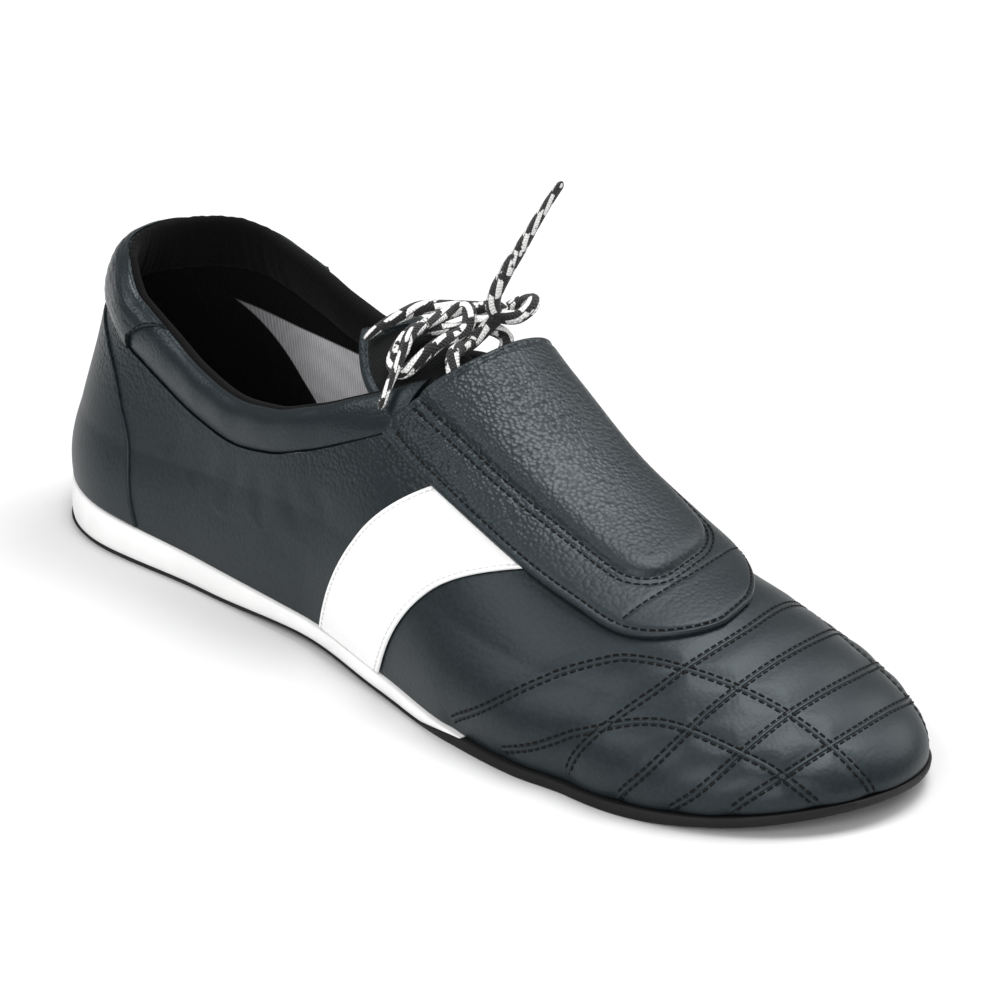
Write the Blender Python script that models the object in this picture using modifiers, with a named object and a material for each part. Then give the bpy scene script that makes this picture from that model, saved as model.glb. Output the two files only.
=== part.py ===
"""Taekwondo shoe for the right foot, in metres: +X to the toe, +Y to the inner side, +Z up."""
import math

import bmesh
import bpy
import numpy as np

COLLECTION = "taekwondo_shoe"

# Sides of the shoe, as signs of Y
LATERAL = -1
MEDIAL = 1

# Plan of the last: stations run along X from near the heel's back
HEEL_BACK = -0.004
HEEL_CENTRE = 0.035
TOE_CENTRE = 0.222
TOE_TIP = 0.282
TOE_TIP_ACROSS = 0.008
SPINE_BEND_START = 0.130
HEEL_POWER = 2.1

# Sections of the last, one row each
LAST_COLUMNS = ("station", "lateral", "medial", "ridge", "feather",
                "bulge", "bulge_height", "side_power", "top_power", "lean")
LAST_ROWS = (
    (-0.004, 0.0350, 0.0340, 0.0975, 0.0128, 0.0006, 0.010, 2.20, 2.40, 0.0053),
    (0.035, 0.0350, 0.0340, 0.0975, 0.0105, 0.0008, 0.010, 2.20, 2.40, 0.0053),
    (0.070, 0.0330, 0.0330, 0.0975, 0.0085, 0.0010, 0.012, 2.20, 2.40, 0.0025),
    (0.110, 0.0328, 0.0310, 0.0880, 0.0070, 0.0010, 0.014, 2.10, 2.20, 0.0),
    (0.150, 0.0390, 0.0350, 0.0690, 0.0056, 0.0012, 0.014, 2.00, 2.00, 0.0),
    (0.180, 0.0448, 0.0395, 0.0530, 0.0040, 0.0018, 0.012, 2.00, 2.00, 0.0),
    (0.205, 0.0466, 0.0420, 0.0435, 0.0033, 0.0022, 0.011, 2.00, 2.00, 0.0),
    (0.222, 0.0450, 0.0418, 0.0395, 0.0033, 0.0022, 0.011, 2.00, 2.00, 0.0),
    (0.255, 0.0450, 0.0418, 0.0320, 0.0043, 0.0022, 0.010, 2.00, 2.00, 0.0),
    (0.282, 0.0450, 0.0418, 0.0250, 0.0080, 0.0015, 0.008, 2.00, 2.00, 0.0),
)

# Heights between which the back and the outer side of the heel lean in
LEAN_START = 0.014
LEAN_FULL = 0.056

# Gap between pieces that meet
GAP = 0.0003

# Upper: wall, throat, and the number of ribs and rows
WALL = 0.0020
THROAT_HALF = 0.010
THROAT_END = 0.205
COLLAR_END = 0.136
EYESTAY_START = 0.1375
HEEL_RIBS = 8
QUARTER_RIBS = 15
EYESTAY_RIBS = 10
VAMP_RIBS = 3
TOE_RIBS = 10
UPPER_ROWS = 9
ROW_POWER = 1.3

# Collar roll, one row for each section: heights of its seam and rim, lifts of its faces
COLLAR_COLUMNS = ("station", "seam", "rim", "outside", "inside")
COLLAR_ROWS = (
    (-0.004, 0.0620, 0.0785, 0.0012, -0.0042),
    (0.015, 0.0600, 0.0765, 0.0012, -0.0042),
    (0.036, 0.0535, 0.0690, 0.0014, -0.0042),
    (0.050, 0.0490, 0.0640, 0.0015, -0.0044),
    (0.065, 0.0450, 0.0588, 0.0016, -0.0046),
    (0.080, 0.0432, 0.0565, 0.0016, -0.0046),
    (0.095, 0.0452, 0.0580, 0.0016, -0.0046),
    (0.110, 0.0502, 0.0628, 0.0014, -0.0042),
    (0.125, 0.0568, 0.0692, 0.0008, -0.0034),
    (0.136, 0.0620, 0.0738, 0.0004, -0.0026),
)
MEDIAL_RISE = 0.004
MEDIAL_RISE_FULL = 0.060
MEDIAL_FALL_START = 0.090
COLLAR_POWER = 2.6
COLLAR_AROUND = 12
COLLAR_HEIGHT = 0.0160

# Overlays: lift of the outer face from the last, and thickness
OVERLAY_LIFT = 0.0012
OVERLAY_WALL = 0.0008
COUNTER_COLUMNS = ("share", "station")
COUNTER_ROWS = ((0.0, 0.0445), (0.4, 0.0415), (1.0, 0.0360))
COUNTER_ACROSS = 16
COUNTER_UP = 6
SIDE_PANEL_COLUMNS = ("share", "rear", "front")
SIDE_PANEL_ROWS = ((0.0, 0.120, 0.149), (0.5, 0.134, 0.164), (1.0, 0.155, 0.189))
SIDE_PANEL_TOP = 0.0240
SIDE_PANEL_ALONG = 5
SIDE_PANEL_UP = 9

# Heel tab over the back of the collar: front edge by turn around its section, in degrees
TAB_GROW = 0.0013
TAB_COLUMNS = ("section_angle", "station")
TAB_ROWS = ((-60.0, 0.0300), (0.0, 0.0385), (90.0, 0.0515))
TAB_ACROSS = 16
TAB_UP = 5

# Tongue: lift of its outer face and half width along the shoe
TONGUE_COLUMNS = ("station", "lift", "half")
TONGUE_ROWS = (
    (0.108, -0.0064, 0.0200),
    (0.118, -0.0058, 0.0215),
    (0.130, -0.0047, 0.0220),
    (0.1365, -0.0043, 0.0215),
    (0.145, -0.0029, 0.0210),
    (0.200, -0.0024, 0.0170),
)
TONGUE_WALL = 0.0026
TONGUE_TIP = 0.117
TONGUE_TIP_SWEEP = 0.008
TONGUE_END = 0.199
TONGUE_ALONG = 14
TONGUE_ACROSS = 10

# Lace cover: lifts of its crown and edges, its thickness there, and its half width
COVER_COLUMNS = ("station", "crown", "edge", "crown_wall", "edge_wall", "half")
COVER_ROWS = (
    (0.134, 0.0122, 0.0039, 0.0026, 0.0020, 0.0232),
    (0.150, 0.0098, 0.0040, 0.0026, 0.0020, 0.0248),
    (0.170, 0.0076, 0.0039, 0.0026, 0.0020, 0.0258),
    (0.190, 0.0062, 0.0036, 0.0026, 0.0019, 0.0262),
    (0.205, 0.0050, 0.0032, 0.0024, 0.0017, 0.0258),
    (0.222, 0.0028, 0.0022, 0.0020, 0.0016, 0.0250),
    (0.236, 0.0020, 0.0019, 0.0016, 0.0015, 0.0236),
)

# Share of the rise to the crown across the lace cover, from its lateral edge to its medial edge
COVER_PROFILE_COLUMNS = ("across", "rise")
COVER_PROFILE = ((-1.0, 0.0), (-0.5, 0.11), (0.0, 0.42), (0.35, 0.80), (0.64, 1.0), (0.84, 0.82), (1.0, 0.10))
COVER_START = 0.1345
COVER_TOP_SWEEP = 0.0075
COVER_TOP_SWEEP_END = 0.1700
COVER_END = 0.2340
COVER_ROUND_START = 0.2060
COVER_ROUND_POWER = 3.0
COVER_ROUND_SHARE = 0.985
COVER_SLANT = 11.5
COVER_SLANT_FROM = -0.013
COVER_SLANT_START = 0.170
COVER_ALONG = 14
COVER_ROUND_STEPS = 8
COVER_ACROSS = 12

# Sole: heights along the shoe of the outsole's faces, and how far each edge stands out
SOLE_COLUMNS = ("station", "bottom", "outsole_top")
SOLE_ROWS = (
    (-0.0065, 0.0014, 0.0030),
    (0.006, 0.0000, 0.0018),
    (0.075, 0.0000, 0.0018),
    (0.110, 0.0016, 0.0030),
    (0.150, 0.0004, 0.0021),
    (0.165, 0.0000, 0.0018),
    (0.187, 0.0000, 0.0017),
)
SPRING_COLUMNS = ("station", "bottom")
SPRING_ROWS = ((0.187, 0.0), (0.236, 0.0), (0.262, 0.0018), (0.2845, 0.0058))
MEDIAL_ARCH_COLUMNS = ("station", "rise")
MEDIAL_ARCH_ROWS = ((0.060, 0.0), (0.085, 0.0006), (0.110, 0.0014), (0.135, 0.0008), (0.165, 0.0))
OUTSOLE_EDGE = 0.0016
OUTSOLE_CHAMFER = 0.0008
MIDSOLE_EDGE = 0.0014
MIDSOLE_END = 0.1870
MIDSOLE_STEP = 0.0020
INSOLE_INSET = 0.0027
INSOLE_TOE_INSET = 0.0025
INSOLE_THICKNESS = 0.0030
SOLE_HEEL_STEPS = 8
SOLE_MIDDLE_STEPS = 22
SOLE_TOE_STEPS = 9
SOLE_SHARES = (-1.0, -0.5, 0.0, 0.5, 1.0)

# Lace: bars across the throat, and the bow's knot, loops and ends
LACE = 0.0040
BAR_STATIONS = (0.1480, 0.1600, 0.1720)
BAR_HALF = 0.0078
BAR_LIFT = -0.0003
KNOT_PLACE = (0.1288, 0.0105, 0.0074)
KNOT_SIZE = (0.0065, 0.0085, 0.0060)
KNOT_CLEAR = 0.00035
LACE_POINT_STEP = 0.004
LACE_SIDES_RESOLUTION = 2

# Strands laid on the tongue: station, distance from the spine and rise over the tongue's face,
# between the ways in which they leave the knot and come back to it
LACE_LAID = {
    "lace_end_back": (
        (-0.88, -0.35, 0.30),
        ((0.1190, 0.0010, 0.0046), (0.1175, -0.0050, 0.0028), (0.1158, -0.0100, 0.0025),
         (0.1135, -0.0150, 0.0025)),
        None,
    ),
    "lace_loop_lateral": (
        (-0.55, -0.83, 0.08),
        ((0.1246, -0.0040, 0.0044), (0.1236, -0.0095, 0.0028), (0.1248, -0.0142, 0.0026),
         (0.1288, -0.0142, 0.0027), (0.1308, -0.0098, 0.0038), (0.1315, -0.0045, 0.0056)),
        (0.35, -0.93, 0.03),
    ),
    "lace_end_front": (
        None,
        ((0.1292, -0.0150, 0.0072), (0.1300, -0.0170, 0.0075), (0.1308, -0.0190, 0.0077),
         (0.1314, -0.0210, 0.0078)),
        None,
    ),
}

# Strands that stand clear, as places from the knot's centre, between the same ways
LACE_STANDING = {
    "lace_end_up": (
        (0.30, -0.10, 0.95),
        ((0.0056, 0.0004, 0.0160), (0.0096, 0.0014, 0.0236), (0.0140, 0.0024, 0.0312),
         (0.0184, 0.0034, 0.0378), (0.0228, 0.0042, 0.0436)),
        None,
    ),
    "lace_loop_medial": (
        (-0.45, 0.85, 0.20),
        ((-0.0022, 0.0130, 0.0040), (0.0016, 0.0152, 0.0072), (0.0056, 0.0142, 0.0086),
         (0.0078, 0.0118, 0.0062)),
        (0.65, 0.72, 0.20),
    ),
}

# Materials: colour, roughness
MATERIALS = {
    "black_leather": ((0.018, 0.020, 0.021), 0.45),
    "black_padding": ((0.016, 0.018, 0.019), 0.42),
    "white_leather": ((0.82, 0.82, 0.81), 0.45),
    "black_rubber": ((0.012, 0.012, 0.013), 0.60),
    "white_rubber": ((0.80, 0.80, 0.79), 0.50),
    "grey_textile": ((0.16, 0.16, 0.17), 0.95),
    "flecked_lace": ((0.10, 0.10, 0.10), 0.85),
}


def smooth(at, knots, values):
    """Monotone cubic through a table's rows, held flat past its ends."""
    knots = np.asarray(knots, float)
    values = np.asarray(values, float)
    steps = np.diff(knots)
    slopes = np.diff(values) / steps
    tangents = np.empty_like(values)
    tangents[0] = slopes[0]
    tangents[-1] = slopes[-1]
    before = 2 * steps[1:] + steps[:-1]
    after = steps[1:] + 2 * steps[:-1]
    rising = slopes[:-1] * slopes[1:] > 0
    left = np.where(rising, slopes[:-1], 1.0)
    right = np.where(rising, slopes[1:], 1.0)
    tangents[1:-1] = np.where(rising, (before + after) / (before / left + after / right), 0.0)
    place = np.clip(np.asarray(at, float), knots[0], knots[-1])
    index = np.clip(np.searchsorted(knots, place) - 1, 0, len(steps) - 1)
    share = (place - knots[index]) / steps[index]
    low = (2 * share**3 - 3 * share**2 + 1) * values[index]
    high = (3 * share**2 - 2 * share**3) * values[index + 1]
    leave = (share**3 - 2 * share**2 + share) * steps[index] * tangents[index]
    arrive = (share**3 - share**2) * steps[index] * tangents[index + 1]
    return low + high + leave + arrive


def look_up(rows, columns, name, at):
    """Value of a table's named column, smoothed over its first column."""
    table = np.array(rows)
    return smooth(at, table[:, 0], table[:, columns.index(name)])


def last(name, station):
    return look_up(LAST_ROWS, LAST_COLUMNS, name, station)


def half_width(side, station):
    return np.where(np.asarray(side) < 0, last("lateral", station), last("medial", station))


def spine(station):
    """Y of the shoe's centre line, which bends inward to the toe."""
    share = (np.asarray(station, float) - SPINE_BEND_START) / (TOE_TIP - SPINE_BEND_START)
    return TOE_TIP_ACROSS * np.clip(share, 0, 1) ** 1.5


def turn_at(station):
    """Turn of a station between the heel's and the toe's centres."""
    return 1 + (np.asarray(station, float) - HEEL_CENTRE) / (TOE_CENTRE - HEEL_CENTRE)


def rib(side, turn):
    """Plan of a rib's foot and spine: turn 0 to 1 fans the heel, 1 to 2 runs along, 2 to 3 fans the toe."""
    turn = np.asarray(turn, float)
    side = np.asarray(side, float)
    heel = np.clip(turn, 0, 1) * np.pi / 2
    heel_station = HEEL_CENTRE - (HEEL_CENTRE - HEEL_BACK) * np.abs(np.cos(heel)) ** (2 / HEEL_POWER)
    heel_across = side * half_width(side, HEEL_CENTRE) * np.sin(heel) ** (2 / HEEL_POWER)
    along = HEEL_CENTRE + (TOE_CENTRE - HEEL_CENTRE) * np.clip(turn - 1, 0, 1)
    along_across = spine(along) + side * half_width(side, along)
    toe = np.clip(turn - 2, 0, 1) * np.pi / 2
    pole = spine(TOE_CENTRE)
    toe_station = TOE_CENTRE + (TOE_TIP - TOE_CENTRE) * np.sin(toe)
    toe_across = pole + side * half_width(side, TOE_CENTRE) * np.cos(toe)
    toe_across = toe_across + (TOE_TIP_ACROSS - pole) * np.sin(toe) ** 2
    in_heel = turn < 1
    in_toe = turn > 2
    foot_station = np.where(in_heel, heel_station, np.where(in_toe, toe_station, along))
    foot_across = np.where(in_heel, heel_across, np.where(in_toe, toe_across, along_across))
    spine_station = np.where(in_heel, HEEL_CENTRE, np.where(in_toe, TOE_CENTRE, along))
    spine_across = np.where(in_heel, 0.0, np.where(in_toe, pole, spine(along)))
    return foot_station, foot_across, spine_station, spine_across


def surface(side, turn, angle):
    """Point of the last on a rib, at an angle from the feather edge (0) to the ridge (a right angle)."""
    foot_station, foot_across, spine_station, spine_across = rib(side, turn)
    side = np.asarray(side, float)
    angle = np.asarray(angle, float)
    reach = np.clip(np.cos(angle), 0, 1) ** (2 / last("side_power", foot_station))
    rise = np.sin(angle) ** (2 / last("top_power", foot_station))
    station = spine_station + (foot_station - spine_station) * reach
    across = spine_across + (foot_across - spine_across) * reach
    feather = last("feather", foot_station)
    height = feather + rise * (last("ridge", station) - feather)
    belly = np.clip((height - feather) / (2 * last("bulge_height", foot_station)), 0, 1)
    push = last("bulge", foot_station) * np.sin(np.pi * belly)
    lean = last("lean", foot_station) * np.where(side < 0, 1.0, np.cos(np.clip(turn, 0, 1) * np.pi / 2) ** 2)
    push = push - lean * ease(height, LEAN_START, LEAN_FULL)
    length = np.hypot(foot_station - spine_station, foot_across - spine_across)
    station = station + push * (foot_station - spine_station) / length
    across = across + push * (foot_across - spine_across) / length
    return np.stack([station, across, height], -1)


def lifted(side, turn, angle, lift):
    """Point of the last moved out along its normal."""
    step = 0.002
    side = np.asarray(side, float)
    along = surface(side, turn + step, angle) - surface(side, turn - step, angle)
    low = np.clip(angle - step, 0, np.pi / 2)
    high = np.clip(angle + step, 0, np.pi / 2)
    up = surface(side, turn, high) - surface(side, turn, low)
    normal = np.cross(along, up) * -side[..., None]
    normal = normal / np.linalg.norm(normal, axis=-1, keepdims=True)
    return surface(side, turn, angle) + normal * np.asarray(lift)[..., None]


def angle_at_height(side, turn, height):
    """Angle where a rib reaches a height."""
    low = np.zeros(np.broadcast(side, turn, height).shape)
    high = low + np.pi / 2
    for _ in range(40):
        middle = (low + high) / 2
        below = surface(side, turn, middle)[..., 2] < height
        low = np.where(below, middle, low)
        high = np.where(below, high, middle)
    return low


def angle_at_across(side, turn, across):
    """Angle where a rib along the shoe comes within a distance of the spine."""
    foot_station, foot_across, _, spine_across = rib(side, turn)
    half = np.maximum(np.abs(foot_across - spine_across), 1e-9)
    share = np.clip(across / half, 0, 1)
    return np.arccos(share ** (last("side_power", foot_station) / 2))


def ease(at, start, end):
    """Share that runs smoothly from 0 at the start to 1 at the end."""
    share = np.clip((np.asarray(at, float) - start) / (end - start), 0, 1)
    return share**2 * (3 - 2 * share)


def collar_height(name, side, station):
    """Height of the collar's seam or rim, which stands higher along the middle of the medial side."""
    rise = ease(station, HEEL_BACK, MEDIAL_RISE_FULL) - ease(station, MEDIAL_FALL_START, COLLAR_END)
    rise = np.where(np.asarray(side) > 0, MEDIAL_RISE, 0.0) * rise
    return look_up(COLLAR_ROWS, COLLAR_COLUMNS, name, station) + rise


def throat_half(station):
    """Half width of the throat, round at its front end."""
    into_end = np.clip((station - THROAT_END + THROAT_HALF) / THROAT_HALF, 0, 1)
    return THROAT_HALF * np.sqrt(1 - into_end**2)


def crown(station, across):
    """Height of the last over a plan point near its ridge; across is measured from the spine."""
    station = np.asarray(station, float)
    across = np.asarray(across, float)
    side = np.where(across < 0, LATERAL, MEDIAL)
    ahead = np.clip(station - TOE_CENTRE, 0, None)
    half = half_width(side, np.minimum(station, TOE_CENTRE))
    toe_length = TOE_TIP - TOE_CENTRE
    reach = np.hypot(np.abs(across) / half, ahead / toe_length)
    share = np.where(ahead > 0, ahead / toe_length / np.maximum(reach, 1e-9), 0.0)
    foot = np.where(ahead > 0, TOE_CENTRE + toe_length * share, station)
    feather = last("feather", foot)
    rise = np.clip(1 - reach ** last("side_power", foot), 0, 1) ** (1 / last("top_power", foot))
    return feather + rise * (last("ridge", station) - feather)


def over(station, across, lift):
    """Point over the ridge, lifted along the crown's normal."""
    step = 0.0005
    station, across = np.broadcast_arrays(np.asarray(station, float), np.asarray(across, float))
    slope_along = (crown(station + step, across) - crown(station - step, across)) / (2 * step)
    slope_across = (crown(station, across + step) - crown(station, across - step)) / (2 * step)
    normal = np.stack([-slope_along, -slope_across, np.ones_like(slope_along)], -1)
    normal = normal / np.linalg.norm(normal, axis=-1, keepdims=True)
    point = np.stack([station, spine(station) + across, crown(station, across)], -1)
    return point + normal * np.asarray(lift)[..., None]


def ring(turns):
    """Ribs once around the shoe: out along the lateral side, back along the medial side."""
    sides = [LATERAL] * len(turns) + [MEDIAL] * (len(turns) - 2)
    around = list(turns) + list(turns[-2:0:-1])
    return np.array(sides, float), np.array(around, float)


def material(name):
    colour, roughness = MATERIALS[name]
    made = bpy.data.materials.get(name)
    if made is None:
        made = bpy.data.materials.new(name)
        made.use_nodes = True
        shader = made.node_tree.nodes["Principled BSDF"]
        shader.inputs["Base Color"].default_value = (*colour, 1.0)
        shader.inputs["Roughness"].default_value = roughness
        shader.inputs["Metallic"].default_value = 0.0
    return made


def add_object(name, data, material_name):
    data.materials.append(material(material_name))
    made = bpy.data.objects.new(name, data)
    bpy.data.collections[COLLECTION].objects.link(made)
    return made


def loft(name, rows, material_name, close_along=False, close_across=False, cap=False):
    """Mesh of quads between rows of points, with its doubled points welded."""
    built = bmesh.new()
    rows = np.asarray(rows)
    points = [[built.verts.new(point) for point in row] for row in rows]
    along = len(points) if close_along else len(points) - 1
    across = len(points[0]) if close_across else len(points[0]) - 1
    for i in range(along):
        here = points[i]
        there = points[(i + 1) % len(points)]
        for j in range(across):
            k = (j + 1) % len(here)
            built.faces.new((here[j], there[j], there[k], here[k]))
    if cap:
        built.faces.new(points[0])
        built.faces.new(points[-1][::-1])
    bmesh.ops.remove_doubles(built, verts=built.verts, dist=1e-5)
    bmesh.ops.dissolve_degenerate(built, edges=built.edges, dist=1e-6)
    if cap or (close_across and not close_along):
        bmesh.ops.recalc_face_normals(built, faces=built.faces)
    data = bpy.data.meshes.new(name)
    built.to_mesh(data)
    built.free()
    data.shade_smooth()
    return add_object(name, data, material_name)


def thicken(made, thickness):
    """Wall grown inward from an open surface."""
    wall = made.modifiers.new("wall", "SOLIDIFY")
    wall.thickness = thickness
    wall.offset = -1
    wall.use_even_offset = True
    return made


def upper_turns():
    heel = np.linspace(0, 1, HEEL_RIBS + 1)[:-1]
    quarter = turn_at(np.linspace(HEEL_CENTRE, COLLAR_END, QUARTER_RIBS + 1))
    eyestay = turn_at(np.linspace(EYESTAY_START, THROAT_END, EYESTAY_RIBS + 1))
    vamp = turn_at(np.linspace(THROAT_END, TOE_CENTRE, VAMP_RIBS + 1))[1:-1]
    toe = np.linspace(2, 3, TOE_RIBS + 1)
    return np.concatenate([heel, quarter, eyestay, vamp, toe])


def upper_end(side, turn):
    """Angle where the upper stops: under the collar, at the throat's edge or at the ridge."""
    foot_station, _, spine_station, _ = rib(side, turn)
    seam = angle_at_height(side, turn, collar_height("seam", side, foot_station))
    throat = angle_at_across(side, turn, throat_half(spine_station))
    under_collar = spine_station <= COLLAR_END + 1e-6
    closed = spine_station >= THROAT_END - 1e-6
    return np.where(under_collar, seam, np.where(closed, np.pi / 2, throat))


def build_upper():
    side, turn = ring(upper_turns())
    shares = np.linspace(0, 1, UPPER_ROWS + 1) ** ROW_POWER
    angle = upper_end(side, turn)[:, None] * shares
    rows = surface(side[:, None], turn[:, None], angle)
    return thicken(loft("upper", rows, "black_leather", close_along=True), WALL)


def roll(side, turn, section_angle, grow=0.0):
    """Point around the collar's section: 0 is its outer face, a right angle its rim."""
    foot_station = rib(side, turn)[0]
    seam = angle_at_height(side, turn, collar_height("seam", side, foot_station))
    rim = angle_at_height(side, turn, collar_height("rim", side, foot_station))
    outside = look_up(COLLAR_ROWS, COLLAR_COLUMNS, "outside", foot_station)
    inside = look_up(COLLAR_ROWS, COLLAR_COLUMNS, "inside", foot_station)
    sine = np.sin(section_angle)
    cosine = np.cos(section_angle)
    up = np.sign(sine) * np.abs(sine) ** (2 / COLLAR_POWER)
    out = np.sign(cosine) * np.abs(cosine) ** (2 / COLLAR_POWER)
    height_share = 0.5 + up * (0.5 + (grow - GAP) / COLLAR_HEIGHT)
    lift = (outside + inside) / 2 + out * ((outside - inside) / 2 + grow)
    return lifted(side, turn, seam + (rim - seam) * height_share, lift)


def build_collar():
    heel = np.linspace(0, 1, HEEL_RIBS + 1)[:-1]
    quarter = turn_at(np.linspace(HEEL_CENTRE, COLLAR_END, QUARTER_RIBS + 1))
    turns = np.concatenate([heel, quarter])
    side = np.array([LATERAL] * len(turns) + [MEDIAL] * (len(turns) - 1), float)
    turn = np.concatenate([turns[::-1], turns[1:]])
    section_angle = np.arange(COLLAR_AROUND) * 2 * np.pi / COLLAR_AROUND
    rows = roll(side[:, None], turn[:, None], section_angle[None, :])
    return loft("collar", rows, "black_padding", close_across=True, cap=True)


def around_heel(edge_turns, steps):
    """Sides and turns of a panel around the heel, for each row's front edge."""
    shares = np.linspace(-1, 1, steps + 1)
    turn = np.abs(shares)[:, None] * edge_turns[None, :]
    side = np.where(shares > 0, MEDIAL, LATERAL)[:, None] * np.ones_like(turn)
    return side, turn


def build_heel_counter():
    shares = np.linspace(0, 1, COUNTER_UP + 1) ** ROW_POWER
    edge = turn_at(look_up(COUNTER_ROWS, COUNTER_COLUMNS, "station", shares))
    side, turn = around_heel(edge, COUNTER_ACROSS)
    foot_station = rib(side, turn)[0]
    top = angle_at_height(side, turn, collar_height("seam", side, foot_station) - 0.0024)
    bottom = angle_at_height(side, turn, last("feather", foot_station) + GAP)
    angle = bottom + (top - bottom) * shares[None, :]
    rows = lifted(side, turn, angle, np.full(turn.shape, OVERLAY_LIFT))
    return thicken(loft("heel_counter", rows[::-1], "black_leather"), OVERLAY_WALL)


def build_heel_tab():
    degrees = np.linspace(TAB_ROWS[0][0], TAB_ROWS[-1][0], TAB_UP + 1)
    edge = turn_at(look_up(TAB_ROWS, TAB_COLUMNS, "station", degrees))
    side, turn = around_heel(edge, TAB_ACROSS)
    section_angle = np.radians(degrees)[None, :] * np.ones_like(turn)
    rows = roll(side, turn, section_angle, TAB_GROW)
    return thicken(loft("heel_tab", rows[::-1], "black_padding"), OVERLAY_WALL)


def build_side_panel(name, side):
    shares = np.linspace(0, 1, SIDE_PANEL_UP + 1) ** ROW_POWER
    rear = look_up(SIDE_PANEL_ROWS, SIDE_PANEL_COLUMNS, "rear", shares)
    front = look_up(SIDE_PANEL_ROWS, SIDE_PANEL_COLUMNS, "front", shares)
    along = np.linspace(0, 1, SIDE_PANEL_ALONG + 1)[:, None]
    turn = turn_at(rear + (front - rear) * along)
    sides = np.full(turn.shape, float(side))
    top = angle_at_across(sides, turn, SIDE_PANEL_TOP)
    bottom = angle_at_height(sides, turn, last("feather", rib(sides, turn)[0]) + GAP)
    angle = bottom + (top - bottom) * shares[None, :]
    rows = lifted(sides, turn, angle, np.full(turn.shape, OVERLAY_LIFT))
    rows = rows if side == LATERAL else rows[::-1]
    return thicken(loft(name, rows, "white_leather"), OVERLAY_WALL)


def build_tongue():
    across = np.linspace(-1, 1, TONGUE_ACROSS + 1)[None, :]
    start = TONGUE_TIP - TONGUE_TIP_SWEEP * across**2
    station = start + (TONGUE_END - start) * np.linspace(0, 1, TONGUE_ALONG + 1)[:, None]
    half = look_up(TONGUE_ROWS, TONGUE_COLUMNS, "half", station)
    lift = look_up(TONGUE_ROWS, TONGUE_COLUMNS, "lift", station)
    rows = over(station, across * half, lift)
    return thicken(loft("tongue", rows, "black_padding"), TONGUE_WALL)


def cover_half(station):
    """Half width of the lace cover, rounded off to a short straight front edge."""
    into_round = np.clip((station - COVER_ROUND_START) / (COVER_END - COVER_ROUND_START), 0, 1)
    half = look_up(COVER_ROWS, COVER_COLUMNS, "half", np.minimum(station, COVER_ROUND_START))
    return half * np.sqrt(1 - (COVER_ROUND_SHARE * into_round) ** COVER_ROUND_POWER)


def cover_place(station, share):
    """Station and distance from the spine of a place on the lace cover: its top edge dips in the middle,
    and its front edge slants back to the medial side."""
    across = share * cover_half(station)
    dip = COVER_TOP_SWEEP * (1 - share**2) * (1 - ease(station, COVER_START, COVER_TOP_SWEEP_END))
    slant = COVER_SLANT * np.clip(across - COVER_SLANT_FROM, 0, None) ** 2
    return station + dip - slant * ease(station, COVER_SLANT_START, COVER_END), across


def build_lace_cover():
    """Padded flap whose outer and inner faces leave the last by a table of lifts."""
    straight = np.linspace(COVER_START, COVER_ROUND_START, COVER_ALONG + 1)[:-1]
    round_off = np.sin(np.linspace(0, np.pi / 2, COVER_ROUND_STEPS + 1))
    round_off = COVER_ROUND_START + (COVER_END - COVER_ROUND_START) * round_off
    station = np.concatenate([straight, round_off])[:, None]
    share = np.linspace(-1, 1, COVER_ACROSS + 1)[None, :]
    rise = look_up(COVER_PROFILE, COVER_PROFILE_COLUMNS, "rise", share)
    place, across = cover_place(station, share)
    edge = look_up(COVER_ROWS, COVER_COLUMNS, "edge", place)
    lift = edge + (look_up(COVER_ROWS, COVER_COLUMNS, "crown", place) - edge) * rise
    edge_wall = look_up(COVER_ROWS, COVER_COLUMNS, "edge_wall", place)
    wall = edge_wall + (look_up(COVER_ROWS, COVER_COLUMNS, "crown_wall", place) - edge_wall) * rise
    outer = over(place, across, lift)
    inner = over(place, across, lift - wall)
    rows = np.concatenate([outer, inner[:, ::-1]], axis=1)
    return loft("lace_cover", rows, "black_leather", close_across=True, cap=True)


def sole_height(name, station):
    """Heights of the outsole's faces, behind and ahead of the midsole's front edge."""
    behind = look_up(SOLE_ROWS, SOLE_COLUMNS, name, station)
    if name == "bottom":
        ahead = look_up(SPRING_ROWS, SPRING_COLUMNS, "bottom", station)
    else:
        ahead = last("feather", station) - GAP
    step = np.clip((station - MIDSOLE_END) / MIDSOLE_STEP, 0, 1)
    return behind + (ahead - behind) * step


def sole_plan(turn, share, grow):
    """Plan point of the sole: share runs from the lateral edge (-1) to the medial edge (1)."""
    edges = []
    for side in (LATERAL, MEDIAL):
        foot_station, foot_across, spine_station, spine_across = rib(side, turn)
        length = np.hypot(foot_station - spine_station, foot_across - spine_across)
        station = foot_station + grow * (foot_station - spine_station) / length
        across = foot_across + grow * (foot_across - spine_across) / length
        edges.append(np.stack([station, across], -1))
    weight = (share + 1) / 2
    return edges[0] * (1 - weight) + edges[1] * weight


def sole_turns(end=None, extra=()):
    heel = np.linspace(0, 1, SOLE_HEEL_STEPS + 1)[:-1]
    if end is not None:
        return np.concatenate([heel, turn_at(np.linspace(HEEL_CENTRE, end, SOLE_MIDDLE_STEPS))])
    middle = np.linspace(1, 2, SOLE_MIDDLE_STEPS + 1)[:-1]
    toe = np.linspace(2, 3, SOLE_TOE_STEPS + 1)
    return np.sort(np.concatenate([heel, middle, toe, turn_at(np.array(extra))]))


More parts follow.
